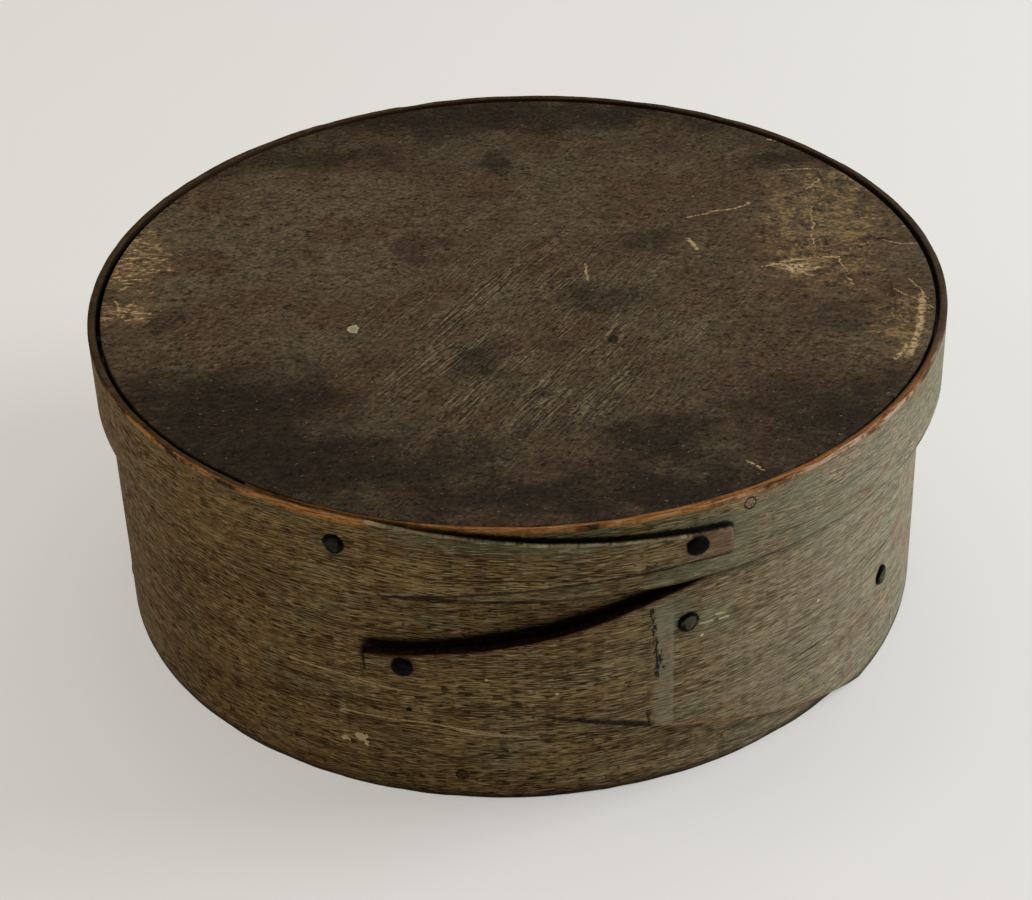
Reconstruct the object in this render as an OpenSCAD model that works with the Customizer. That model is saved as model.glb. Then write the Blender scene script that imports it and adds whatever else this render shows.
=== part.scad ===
// Round lapped pantry box with a lift-off lid, in millimetres.
// Each wall is one thin strip of wood, bent round and lapped over itself at the front.
// The origin is on the box's axis, at the foot that it stands on, and +Z is up.

/* [Box] */
// Outer diameter of the box, where its band is one layer thick
box_d = 204; // [150:1:300]
// Height of the box from its foot to its rim
box_h = 73.6; // [60:0.2:120]
// Thickness of the box band
box_band_t = 2.2; // [1.6:0.1:3]
// Thickness of the bottom board
bottom_t = 9; // [5:0.5:14]
// How far the bottom board sits above the foot of the band
bottom_recess = 2.5; // [0:0.1:5]

/* [Box lap] */
// Direction of the box finger's tip, seen from above, in degrees
box_tip_angle = -110.5; // [-125:0.5:-95]
// Arc of the box finger from its tip to its root, in degrees
box_finger_arc = 73; // [50:1:90]
// Arc from the finger's root to the inner end of the strip, in degrees
box_root_arc = 8; // [4:1:14]
// Height of the finger's blunt tip
box_tip_h = 5.6; // [4:0.2:10]
// Height of the middle of the tip above the foot
box_tip_z = 40.6; // [25:0.1:48]
// Bow of the finger's upper edge, where 1 is straight
box_upper_bow = 1.3; // [1:0.05:2]
// Bow of the finger's lower edge, where 1 is straight
box_lower_bow = 1; // [1:0.05:2]
// Gap behind the tip, where the finger has sprung away from the layer below
box_finger_lift = 1.6; // [0.3:0.1:2]

/* [Lid] */
// Depth of the lid band from its rim to its lower edge
lid_depth = 19.8; // [14:0.2:26]
// Thickness of the lid band
lid_band_t = 2; // [1.4:0.1:3]
// Thickness of the lid board
lid_board_t = 5.2; // [4:0.1:8]
// How far the lid board sits below the rim of its band
lid_recess = 0.6; // [0:0.1:2]
// Least gap between the lid band and the box band
lid_clearance = 0.3; // [0.3:0.05:1]
// Direction in which the lid sits off the box's axis, in degrees
lid_set_angle = -18; // [-60:1:0]

/* [Lid lap] */
// Direction of the lid finger's tip, seen from above, in degrees
lid_tip_angle = -65; // [-72:1:-55]
// Arc of the lid finger from its tip to its root, in degrees
lid_finger_arc = 43; // [30:1:50]
// Arc from the finger's root to the inner end of the strip, in degrees
lid_root_arc = 18; // [10:1:22]
// Height of the finger's blunt tip
lid_tip_h = 6.7; // [4:0.1:9]
// Depth of the middle of the tip below the lid's rim
lid_tip_drop = 9.8; // [8:0.1:13]
// Bow of the finger's upper edge, where 1 is straight
lid_upper_bow = 1; // [1:0.05:2]
// Bow of the finger's lower edge, where 1 is straight
lid_lower_bow = 2; // [1:0.05:3]
// Gap behind the tip, where the finger has sprung away from the layer below
lid_finger_lift = 0.6; // [0.3:0.1:1.6]

/* [Bent wood] */
// Thickness of a strip's inner end, shaved thin so that the lap rises gently
feather_t = 0.3; // [0.2:0.05:0.6]
// Gap between the two layers at the inner end
seam_gap = 0.15; // [0.1:0.05:0.3]
// Corner radius of a finger's tip
tip_round = 1.2; // [0.5:0.1:1.8]
// Gap between a board and the band around it, along the grain
board_fit = 0.15; // [0.1:0.05:0.4]
// Further gap across the grain, where a board has shrunk
board_shrink = 0.6; // [0.1:0.1:1.2]
// Eased edge of a board
board_ease = 0.8; // [0.3:0.1:1.5]
// Direction of the lid board's grain, in degrees
lid_grain_angle = 58; // [0:1:180]
// Direction of the bottom board's grain, in degrees
bottom_grain_angle = 15; // [0:1:180]

/* [Tacks] */
// Diameter of a tack's head
tack_head_d = 5; // [3.5:0.1:6.5]
// Height of a tack's domed head
tack_head_h = 1.1; // [0.6:0.1:2]
// Diameter of a tack's shank
tack_shank_d = 1.4; // [1:0.1:2]
// Gap around a shank in its hole
tack_fit = 0.05; // [0.02:0.01:0.1]
// Gap under a head at its middle, because the wood is curved
tack_seat = 0.06; // [0.05:0.01:0.1]
// Length of the leg that is bent over inside the box
tack_leg = 3; // [2:0.1:5]
// Thickness of that leg, hammered flat
tack_leg_t = 0.7; // [0.5:0.1:1]
// Arc length from the box finger's tip to its first tack
box_tip_tack = 9.9; // [7:0.1:12]
// Arc length from the box finger's tip to its second tack
box_middle_tack = 73; // [55:0.5:90]
// Height of the second tack above the foot
box_middle_tack_z = 47; // [30:0.1:49]
// Arc length from the finger's root to the third tack
box_root_tack = 8.8; // [3:0.1:11]
// Height of the third tack above the foot
box_root_tack_z = 26.2; // [20:0.1:50]
// Arc length from the lid finger's tip to its first tack
lid_tip_tack = 9.3; // [6:0.1:11]
// Depth of the lid's first tack below its rim
lid_tip_tack_drop = 8.3; // [8:0.1:12]
// Arc length from the lid finger's root to the second tack
lid_root_tack = 9.2; // [5:0.1:14]
// Depth of the lid's second tack below its rim
lid_root_tack_drop = 7; // [6.5:0.1:13]

/* [Pegs] */
// Diameter of the wooden pegs that hold the boards
peg_d = 2.8; // [2:0.1:3.6]
// How far a peg goes into its board
peg_depth = 12; // [8:0.5:20]
// Gap around a peg in its hole
peg_fit = 0.05; // [0.02:0.01:0.1]
// Arc between neighbouring pegs, in degrees
peg_pitch = 36; // [30:1:36]
// Direction of the first peg of the bottom board, in degrees
bottom_peg_angle = -98.6; // [-104:0.1:-92]
// Direction of the first peg of the lid board, in degrees
lid_peg_angle = -62.5; // [-63:0.1:-50]
// Pegs in the bottom board
bottom_pegs = 10; // [4:1:10]
// Pegs in the lid board, which has none under its finger
lid_pegs = 9; // [4:1:9]

/* [Hidden] */
$fn = 180;
// Angle from a finger's tip back to the line that its eccentric circles lean along
scarf_lean = 40;
// Straight pieces in each edge of a finger's outline, in its corners, round a pie slice and up a tack's dome
edge_steps = 14;
corner_steps = 4;
pie_steps = 6;
dome_steps = 6;
// Arc by which the outer layer runs on inside the single wall that it turns into
join_arc = 6;
// Arc before the tip where the pie slices of both layers start
lead_arc = 5;
// Depth by which solids that are joined or cut pass through each other
pass = 0.05;
// Length by which a cutting shape reaches past a wall on each side
reach = 10;

// Shapes and rules that both bands share
function at(radius, angle) = radius * [cos(angle), sin(angle)];
function arc_angle(length, radius) = length / radius * 180 / PI;
function edge_z(tip, root, part, bow) = tip + (root - tip) * pow(part, bow);
// A circle off the axis, as [offset, radius], that has radius r0 at the tip and r1 at the lap's end
function scarf(r0, r1, lap) =
    let (lean = at(1, -scarf_lean))
    let (offset = (r0 * r0 - r1 * r1) / (2 * (at(r0, 0) - at(r1, lap)) * lean))
    [offset, norm(at(r0, 0) - offset * lean)];
function scarf_r(circle, angle) =
    let (turn = angle + scarf_lean)
    circle[0] * cos(turn) + sqrt(pow(circle[1], 2) - pow(circle[0] * sin(turn), 2));
function grown(circle, t) = [circle[0], circle[1] + t];
// The angle from the tip at which such a circle meets a radius about the axis
function meet_angle(circle, r) =
    acos((r * r + pow(circle[0], 2) - pow(circle[1], 2)) / (2 * r * circle[0])) - scarf_lean;

// Box band
box_r = box_d / 2;
box_ri = box_r - box_band_t;
box_lap = box_finger_arc + box_root_arc;
box_tip_lo = box_tip_z - box_tip_h / 2;
box_tip_hi = box_tip_z + box_tip_h / 2;
box_seam = scarf(box_r, box_ri + feather_t, box_lap);
box_back = scarf(box_r + box_finger_lift, box_ri + feather_t + seam_gap, box_lap);
box_face = grown(box_back, box_band_t);

// Lid heights, and how far the lid sits off the axis to clear the box's lap
lid_seat_z = box_h;
lid_rim_z = lid_seat_z + lid_board_t + lid_recess;
lid_low_z = lid_rim_z - lid_depth;
covered_part = pow(max(0, lid_low_z - box_tip_hi) / (box_h - box_tip_hi), 1 / box_upper_bow);
covered_angle = covered_part * box_finger_arc;
bulge = scarf_r(box_face, covered_angle) - box_r;
lid_set = bulge / (1 + cos(box_tip_angle + covered_angle - lid_set_angle));
lid_shift = at(lid_set, lid_set_angle);

// Lid band
lid_ri = box_r + lid_clearance + lid_set;
lid_r = lid_ri + lid_band_t;
lid_lap = lid_finger_arc + lid_root_arc;
lid_tip_lo = lid_depth - lid_tip_drop - lid_tip_h / 2;
lid_tip_hi = lid_tip_lo + lid_tip_h;
lid_seam = scarf(lid_r, lid_ri + feather_t, lid_lap);
lid_back = scarf(lid_r + lid_finger_lift, lid_ri + feather_t + seam_gap, lid_lap);
lid_face = grown(lid_back, lid_band_t);

// Tacks, each as [angle from the finger's tip, height in its band]
box_tip_tack_at = [arc_angle(box_tip_tack, box_r), box_tip_z];
box_middle_tack_at = [arc_angle(box_middle_tack, box_r), box_middle_tack_z];
box_root_tack_at = [box_finger_arc + arc_angle(box_root_tack, box_r), box_root_tack_z];
lid_tip_tack_at = [arc_angle(lid_tip_tack, lid_r), lid_depth - lid_tip_tack_drop];
lid_root_tack_at = [lid_finger_arc + arc_angle(lid_root_tack, lid_r), lid_depth - lid_root_tack_drop];
box_tacks = [box_tip_tack_at, box_middle_tack_at, box_root_tack_at];
lid_tacks = [lid_tip_tack_at, lid_root_tack_at];

// Pegs
bottom_peg_z = bottom_recess + bottom_t / 2;
lid_peg_z = lid_seat_z + lid_board_t / 2;
function bottom_peg_turn(i) = bottom_peg_angle + (i - 1) * peg_pitch;
function lid_peg_turn(i) = lid_peg_angle + (i - 1) * peg_pitch;
// Outer radius of the wall that a peg comes out of, where no finger covers it
function wall_r(seam, face, lap, r, angle) =
    let (turn = (angle + 720) % 360)
    turn < lap ? min(r, scarf_r(seam, turn)) :
    turn < meet_angle(face, r) ? scarf_r(face, turn) : r;

band_color = "#6b6248";
board_color = "#4a3d2c";
tack_color = "#1d1c1b";
peg_color = "#5a4a33";

// Flat pie slice between two angles, wider than the band
module pie(from, to, r) {
    turns = [for (i = [0:pie_steps]) from + (to - from) * i / pie_steps];
    polygon(concat([[0, 0]], [for (turn = turns) at(2 * r, turn)]));
}

// Flat disc on a scarf's eccentric circle
module scarf_disc(circle) {
    rotate(-scarf_lean) translate([circle[0], 0]) circle(r = circle[1]);
}

// Block cut to the finger's outline, which widens from a blunt tip to the full height of the band.
// It is cut square to the middle of the finger, so the tip gets the bevel that a knife leaves.
module finger_outline(r, h, lo, hi, arc, lower_bow, upper_bow) {
    middle = arc / 2;
    tip_x = -r * sin(middle);
    start = (asin((tip_x + tip_round) / r) + middle) / arc;
    function across(step) = r * sin((start + (1 - start) * step / edge_steps) * arc - middle);
    function corner(z, turn) = [tip_x + tip_round, z] + at(tip_round, turn);
    low = [for (i = [edge_steps:-1:0]) [across(i), edge_z(lo, 0, i / edge_steps, lower_bow)]];
    low_corner = [for (i = [1:corner_steps]) corner(lo + tip_round, 270 - 90 * i / corner_steps)];
    high_corner = [for (i = [corner_steps:-1:1]) corner(hi - tip_round, 90 + 90 * i / corner_steps)];
    high = [for (i = [0:edge_steps]) [across(i), edge_z(hi, h, i / edge_steps, upper_bow)]];
    rotate(middle)
        rotate([90, 0, 90])
            linear_extrude(2 * r)
                polygon(concat([[2 * r, 0]], low, low_corner, high_corner, high, [[2 * r, h]]));
}

// One strip bent into a ring, with its finger's tip at angle 0 and its lap on the side of +Y
module lapped_band(ri, t, h, seam, back, lo, hi, arc, lap, lower_bow, upper_bow) {
    meet = meet_angle(back, ri);
    wall_start = (lap + meet) / 2;
    // The single wall, which thins to a feather under the finger and ends there
    linear_extrude(h)
        difference() {
            circle(r = ri + t);
            circle(r = ri);
            difference() {
                pie(-lead_arc, (lap + wall_start) / 2, ri);
                scarf_disc(seam);
            }
            pie(lap, wall_start, ri);
        }
    // The outer layer, which climbs over the feathered end and tapers to the finger
    intersection() {
        linear_extrude(h)
            intersection() {
                difference() {
                    scarf_disc(grown(back, t));
                    scarf_disc(back);
                    circle(r = ri + pass);
                }
                pie(-lead_arc, meet + join_arc, ri);
            }
        finger_outline(ri + t, h, lo, hi, arc, lower_bow, upper_bow);
    }
}

// Straight round bar or bore that points out from the axis
module radial_bar(angle, z, d, from, to) {
    rotate(angle) translate([from, 0, z]) rotate([0, 90, 0]) cylinder(d = d, h = to - from);
}

// Tack with a low domed head on the wood at radius seat and a shank that ends at radius end
module tack(spot, seat, end) {
    dome_r = (pow(tack_head_d / 2, 2) + pow(tack_head_h, 2)) / (2 * tack_head_h);
    dome_turn = asin(tack_head_d / 2 / dome_r);
    dome = [for (i = [0:dome_steps]) dome_turn * (1 - i / dome_steps)];
    head = [for (turn = dome) [dome_r * sin(turn), tack_head_h - dome_r * (1 - cos(turn))]];
    shank = [[0, end - seat], [tack_shank_d / 2, end - seat], [tack_shank_d / 2, 0]];
    rotate(spot[0])
        translate([seat, 0, spot[1]])
            rotate([0, 90, 0])
                rotate_extrude() polygon(concat(shank, head));
}

// The point of a box tack, bent down and hammered flat against the inside of the band
module bent_leg(spot, r) {
    outline = [[-tack_shank_d / 2, tack_shank_d / 2], [tack_shank_d / 2, tack_shank_d / 2], [0, -tack_leg]];
    rotate(spot[0])
        translate([r - tack_leg_t, 0, spot[1]])
            rotate([90, 0, 90])
                linear_extrude(tack_leg_t) polygon(outline);
}

// Round board that has shrunk across its grain, so that it is a little narrower that way
module board(r, t, grain) {
    intersection_for (side = [-1, 1])
        rotate(grain)
            translate([0, side * board_shrink, 0]) {
                cylinder(r = r, h = t - board_ease);
                translate([0, 0, t - board_ease]) cylinder(r1 = r, r2 = r - board_ease, h = board_ease);
            }
}

// Frames in which a band's finger has its tip at angle 0
module in_box_lap() {
    rotate(box_tip_angle) children();
}
module in_lid() {
    translate([lid_shift[0], lid_shift[1], 0]) children();
}
module in_lid_lap() {
    in_lid() translate([0, 0, lid_low_z]) rotate(lid_tip_angle) mirror([0, 1, 0]) children();
}

module bottom_peg_bore(i) {
    bore = peg_d + 2 * peg_fit;
    radial_bar(bottom_peg_turn(i), bottom_peg_z, bore, box_ri - board_fit - peg_depth, box_r + reach);
}
module lid_peg_bore(i) {
    bore = peg_d + 2 * peg_fit;
    radial_bar(lid_peg_turn(i), lid_peg_z, bore, lid_ri - board_fit - peg_depth, lid_r + reach);
}

module box_band() {
    color(band_color)
        difference() {
            in_box_lap()
                lapped_band(box_ri, box_band_t, box_h, box_seam, box_back, box_tip_lo, box_tip_hi,
                    box_finger_arc, box_lap, box_lower_bow, box_upper_bow);
            in_box_lap()
                for (spot = box_tacks)
                    radial_bar(spot[0], spot[1], tack_shank_d + 2 * tack_fit, box_ri - reach, box_r + reach);
            for (i = [1:bottom_pegs]) bottom_peg_bore(i);
        }
}

module box_bottom() {
    color(board_color)
        difference() {
            translate([0, 0, bottom_recess]) board(box_ri - board_fit, bottom_t, bottom_grain_angle);
            for (i = [1:bottom_pegs]) bottom_peg_bore(i);
        }
}

module lid_band() {
    color(band_color)
        difference() {
            in_lid_lap()
                lapped_band(lid_ri, lid_band_t, lid_depth, lid_seam, lid_back, lid_tip_lo, lid_tip_hi,
                    lid_finger_arc, lid_lap, lid_lower_bow, lid_upper_bow);
            in_lid_lap()
                for (spot = lid_tacks)
                    radial_bar(spot[0], spot[1], tack_shank_d + 2 * tack_fit, lid_ri - reach, lid_r + reach);
            in_lid() for (i = [1:lid_pegs]) lid_peg_bore(i);
        }
}

module lid_board() {
    color(board_color)
        difference() {
            in_lid() translate([0, 0, lid_seat_z]) board(lid_ri - board_fit, lid_board_t, lid_grain_angle);
            in_lid() for (i = [1:lid_pegs]) lid_peg_bore(i);
        }
}

module box_tack(spot) {
    leg_r = box_ri - tack_seat;
    color(tack_color)
        in_box_lap() {
            tack(spot, scarf_r(box_face, spot[0]) + tack_seat, leg_r - tack_leg_t / 2);
            bent_leg(spot, leg_r);
        }
}

// A lid tack ends inside the wood, because the box passes close behind it
module lid_tack(spot) {
    color(tack_color)
        in_lid_lap()
            tack(spot, scarf_r(lid_face, spot[0]) + tack_seat, lid_ri + tack_seat);
}

module bottom_peg(i) {
    turn = bottom_peg_turn(i);
    outer = wall_r(box_seam, box_face, box_lap, box_r, turn - box_tip_angle);
    color(peg_color)
        radial_bar(turn, bottom_peg_z, peg_d, box_ri - board_fit - peg_depth + peg_fit, outer);
}

module lid_peg(i) {
    turn = lid_peg_turn(i);
    outer = wall_r(lid_seam, lid_face, lid_lap, lid_r, lid_tip_angle - turn);
    color(peg_color)
        in_lid()
            radial_bar(turn, lid_peg_z, peg_d, lid_ri - board_fit - peg_depth + peg_fit, outer);
}

box_band();
box_bottom();
lid_band();
lid_board();
box_tack(box_tip_tack_at);  // box_tip_tack
box_tack(box_middle_tack_at);  // box_middle_tack
box_tack(box_root_tack_at);  // box_root_tack
lid_tack(lid_tip_tack_at);  // lid_tip_tack
lid_tack(lid_root_tack_at);  // lid_root_tack
for (i = [1:bottom_pegs])
    bottom_peg(i);
for (i = [1:lid_pegs])
    lid_peg(i);
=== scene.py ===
# %% [markdown]
# # A round pantry box of bent wood
# The box is two strips of thin wood, each bent round, lapped over itself and tacked, with a board pegged
# into each ring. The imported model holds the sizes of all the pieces. In this lesson every piece is made
# again in the same place, with the surface that the real one has: thin green paint worn down to brown
# wood, black iron tacks, and pegs that the paint covers. One unit is one metre, and +Z is up.

# %% Load the frame
import math
from functools import reduce
from types import SimpleNamespace
import bmesh
import bpy
from mathutils import Matrix, Vector, noise


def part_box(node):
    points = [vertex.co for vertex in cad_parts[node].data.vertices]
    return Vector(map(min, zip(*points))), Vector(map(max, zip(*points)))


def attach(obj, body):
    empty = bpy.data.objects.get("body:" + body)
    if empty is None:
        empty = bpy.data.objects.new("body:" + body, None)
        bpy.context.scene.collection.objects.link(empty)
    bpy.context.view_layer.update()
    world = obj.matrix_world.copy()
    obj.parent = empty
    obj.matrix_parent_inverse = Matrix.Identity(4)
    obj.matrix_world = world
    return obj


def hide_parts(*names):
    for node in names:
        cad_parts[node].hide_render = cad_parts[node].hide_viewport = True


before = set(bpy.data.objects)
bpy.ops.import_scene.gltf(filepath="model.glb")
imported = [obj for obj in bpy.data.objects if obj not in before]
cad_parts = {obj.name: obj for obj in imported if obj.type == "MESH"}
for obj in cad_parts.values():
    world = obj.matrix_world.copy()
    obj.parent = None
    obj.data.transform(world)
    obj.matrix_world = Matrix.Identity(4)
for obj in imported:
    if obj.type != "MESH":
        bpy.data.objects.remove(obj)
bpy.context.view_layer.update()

# %% [markdown]
# ## Writing nodes as sums
# Both the bent shapes and the paint are worked out by node trees. Placing each node by hand takes pages,
# so one small class wraps a socket: a sum of two wires adds a Math node, and one method adds any other
# kind of node. The same class serves Geometry Nodes and shaders, because both share the Math node.

# %% A wire between nodes
def operator(operation, turned=False):
    """A method that joins a wire and a value in a Math node, the value first if turned."""
    def method(wire, other):
        pair = (other, wire) if turned else (wire, other)
        return wire.math(operation, *pair)
    return method


class Wire:
    """A socket in a node tree, on which Python's operators add nodes."""
    __add__, __radd__ = operator("ADD"), operator("ADD", True)
    __sub__, __rsub__ = operator("SUBTRACT"), operator("SUBTRACT", True)
    __mul__, __rmul__ = operator("MULTIPLY"), operator("MULTIPLY", True)
    __truediv__, __rtruediv__ = operator("DIVIDE"), operator("DIVIDE", True)
    __pow__ = operator("POWER")
    at_least, at_most = operator("MAXIMUM"), operator("MINIMUM")
    over = operator("GREATER_THAN")

    def __init__(self, tree, socket=None):
        self.tree = tree
        self.socket = socket

    def add(self, kind, settings=None, numbered=None, out=0, **named):
        """Adds a node and fills its sockets. In a socket's name, an underscore stands for a space."""
        node = self.tree.nodes.new(kind)
        for name, value in (settings or {}).items():
            setattr(node, name, value)
        sockets = {name.replace("_", " "): value for name, value in named.items()}
        for key, value in ((numbered or {}) | sockets).items():
            if isinstance(value, Wire):
                self.tree.links.new(value.socket, node.inputs[key])
            else:
                node.inputs[key].default_value = value
        return Wire(self.tree, node.outputs[out] if node.outputs else None)

    def geo(self, kind, settings=None, **sockets):
        """Adds a node that only Geometry Nodes has."""
        return self.add("GeometryNode" + kind, settings, **sockets)

    def out(self, name):
        """Another output of the node that this wire comes from."""
        return Wire(self.tree, self.socket.node.outputs[name])

    def math(self, operation, *values):
        return self.add("ShaderNodeMath", {"operation": operation}, dict(enumerate(values)))

    def rise(self, low, high):
        """0 below low and 1 above high, with a smooth step between them."""
        smooth = {"interpolation_type": "SMOOTHSTEP"}
        return self.add("ShaderNodeMapRange", smooth, Value=self, From_Min=low, From_Max=high)

    def fall(self, low, high):
        """1 below low and 0 above high."""
        return 1 - self.rise(low, high)

    def window(self, low, full, last, high):
        """0 below low and above high, and 1 from full to last."""
        return self.rise(low, full) * self.fall(last, high)

    def mix(self, low, high):
        """Colour low where this mask is 0, and colour high where it is 1."""
        return self.add("ShaderNodeMix", {"data_type": "RGBA"}, {0: self, 6: low, 7: high}, out=2)

    def tone(self, colour):
        """A colour made darker or lighter by this value."""
        return self.add("ShaderNodeVectorMath", {"operation": "SCALE"}, {0: colour}, Scale=self)

    def parts(self):
        """The x, y and z of a vector."""
        first = self.add("ShaderNodeSeparateXYZ", numbered={0: self})
        return first, first.out("Y"), first.out("Z")

    def point(self, x, y, z):
        return self.add("ShaderNodeCombineXYZ", X=x, Y=y, Z=z)

    def noise(self, x, y, z, detail=2.0, roughness=0.5):
        """Soft random values from 0 to 1, with lumps about one unit of x, y and z wide."""
        at = self.point(x, y, z)
        return self.add("ShaderNodeTexNoise", Vector=at, Scale=1.0, Detail=detail, Roughness=roughness)


def distance(a, b):
    """How far away something is that lies a along one axis and b along the other."""
    return (a * a + b * b) ** 0.5


def turned_axes(x, y, lean):
    """Distances along and across a direction that leans from the x axis."""
    return x * math.cos(lean) + y * math.sin(lean), y * math.cos(lean) - x * math.sin(lean)


print("a point 3 along and 4 across is", distance(3, 4), "away")

# %% [markdown]
# ## What the frame says about the two strips
# Each wall is one strip. It starts at the tip of a tapered finger, climbs down from the lap, runs once
# round, and ends shaved thin under its own finger. Radii, heights and centres come from the frame. The
# finger's own sizes are few, so they are written here. A scarf is an eccentric circle: it gives the lap
# its gentle climb in one formula, where a table of points would need hundreds.

# %% Sizes of the strips
MM = 0.001
DEGREE = math.pi / 180
FULL_TURN = 2 * math.pi
FEATHER = 0.3 * MM
SEAM_GAP = 0.15 * MM
LID_SLACK = 0.01 * MM
SCARF_LEAN = 40 * DEGREE
TIP_ROUND = 1.2 * MM

foot, wall_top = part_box("box_band")
lid_low, lid_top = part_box("lid_band")
board_low, board_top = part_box("lid_board")
bottom_low, bottom_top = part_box("box_bottom")
lid_middle = (board_low + board_top) / 2

# Each size, first for the box and then for the lid
STRIP_SIZES = (
    ("Radius", wall_top.y, lid_top.y - lid_middle.y - LID_SLACK),
    ("Thickness", 2.2 * MM, 2.0 * MM),
    ("Height", wall_top.z - foot.z, lid_top.z - lid_low.z),
    ("Foot", foot.z, lid_low.z),
    ("Centre X", 0.0, lid_middle.x),
    ("Centre Y", 0.0, lid_middle.y),
    ("Tip angle", -110.5 * DEGREE, -65 * DEGREE),
    ("Hand", 1.0, -1.0),
    ("Finger arc", 73 * DEGREE, 43 * DEGREE),
    ("Lap", 81 * DEGREE, 61 * DEGREE),
    ("Tip low", 37.8 * MM, 6.65 * MM),
    ("Tip high", 43.4 * MM, 13.35 * MM),
    ("Lower bow", 1.0, 2.0),
    ("Upper bow", 1.3, 1.0),
    ("Lift", 1.6 * MM, 0.6 * MM),
    ("Spring", 1.0 * MM, 0.0),
    ("Spring from", 5 * DEGREE, 5 * DEGREE),
    ("Spring to", 42 * DEGREE, 43 * DEGREE),
    ("Wobble", 0.25 * MM, 0.0),
    ("Edge wear", 0.35 * MM, 0.3 * MM),
)


def scarf(tip_radius, end_radius, lap):
    """Offset and radius of the circle that has these radii about the axis at the tip and the lap's end."""
    lean = Vector((math.cos(SCARF_LEAN), -math.sin(SCARF_LEAN)))
    tip = Vector((tip_radius, 0))
    end = Vector((end_radius * math.cos(lap), end_radius * math.sin(lap)))
    offset = (tip_radius ** 2 - end_radius ** 2) / (2 * (tip - end).dot(lean))
    return offset, (tip - offset * lean).length


def strip_sizes(column):
    """One column of the table, with the circles behind the finger and in front of the thinned inner end."""
    strip = {name: values[column] for name, *values in STRIP_SIZES}
    inside = strip["Radius"] - strip["Thickness"]
    back = scarf(strip["Radius"] + strip["Lift"], inside + FEATHER + SEAM_GAP, strip["Lap"])
    seam = scarf(strip["Radius"], inside + FEATHER, strip["Lap"])
    strip["Back offset"], strip["Back radius"] = back
    strip["Seam offset"], strip["Seam radius"] = seam
    return strip


box_strip, lid_strip = strip_sizes(0), strip_sizes(1)
print("box radius", round(box_strip["Radius"] / MM, 2), "lid radius", round(lid_strip["Radius"] / MM, 2))

# %% [markdown]
# ## Cutting a strip flat and bending it
# A maker cuts the strip flat, tapers one end, steams it and bends it round a form. The tree does the same.
# The object's own mesh is the strip's cross-section, a long thin loop with worn corners. It is swept along
# a straight line, and one Set Position node bends the flat strip into the ring. Modelling the ring directly
# would also work, but then the grain would not know where it is along the strip. Here each point keeps its
# place on the flat strip, and its distance from the strip's edges, for the paint to use later.

# %% The strip's rules
ALONG_STEPS = 900
TIP_FINE = 0.02
TIP_CROWD = 0.85
TIP_BEVEL = 0.9 * MM
BEVEL_LENGTH = 2 * MM
EDGE_ROUND = 0.6 * MM
EDGE_POWER = 8
WOBBLE_HEIGHT = 40 * MM
FAR_AWAY = 1.0
TIP_SIDE = 0.2


def finger_edges(size, turn):
    """Height of the strip's lower and upper edge, at an angle from the finger's tip."""
    start = TIP_ROUND / size["Radius"]
    part = ((turn - start) / (size["Finger arc"] - start)).at_least(0).at_most(1)
    short = (TIP_ROUND - turn * size["Radius"]).at_least(0)
    corner = TIP_ROUND - (TIP_ROUND ** 2 - short * short).at_least(0) ** 0.5
    low = size["Tip low"] * (1 - part ** size["Lower bow"]) + corner
    high = size["Tip high"] + (size["Height"] - size["Tip high"]) * part ** size["Upper bow"] - corner
    return low, high


def scarf_radius(offset, radius, turn):
    """Distance of an eccentric circle from the axis, at an angle from the finger's tip."""
    leaning = turn + SCARF_LEAN
    aside = offset * leaning.math("SINE", leaning)
    return offset * leaning.math("COSINE", leaning) + (radius * radius - aside * aside) ** 0.5


def faces_of_strip(size, turn):
    """Radius of the strip's inner and outer face: over the lap, round the wall, and under the lap."""
    inside = size["Radius"] - size["Thickness"]
    wrap = turn - FULL_TURN
    over_lap = (math.pi - turn).over(0)
    under_lap = wrap.over(0)
    back = scarf_radius(size["Back offset"], size["Back radius"], turn)
    front = scarf_radius(size["Back offset"], size["Back radius"] + size["Thickness"], turn)
    seam = scarf_radius(size["Seam offset"], size["Seam radius"], wrap)
    inner = inside + over_lap * (back - inside).at_least(0)
    outer = size["Radius"] + over_lap * (front - size["Radius"]).at_least(0)
    return inner, outer - under_lap * (size["Radius"] - seam).at_least(0)


# %% The tree that bends a strip
def new_tree(name, inputs):
    """An empty Geometry Nodes tree with a geometry input, named number inputs and a material input."""
    tree = bpy.data.node_groups.new(name, "GeometryNodeTree")
    kinds = {"Shape": "Geometry"} | {label: "Float" for label in inputs} | {"Finish": "Material"}
    for label, kind in kinds.items():
        tree.interface.new_socket(label, in_out="INPUT", socket_type="NodeSocket" + kind)
    tree.interface.new_socket("Piece", in_out="OUTPUT", socket_type="NodeSocketGeometry")
    given = Wire(tree).add("NodeGroupInput")
    return tree, given, {label: given.out(label) for label in inputs}


def store(start, shape, name, value):
    """Keeps a vector on every point of a shape, under a name that a material can read."""
    settings = {"data_type": "FLOAT_VECTOR", "domain": "POINT"}
    return start.geo("StoreNamedAttribute", settings, Geometry=shape, Name=name, Value=value)


def end_tree(start, given, shape):
    """Ends a tree in Realize Instances and Set Material."""
    whole = start.geo("RealizeInstances", Geometry=shape)
    finished = start.geo("SetMaterial", Geometry=whole, Material=given.out("Finish"))
    start.add("NodeGroupOutput", Piece=finished)


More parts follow.
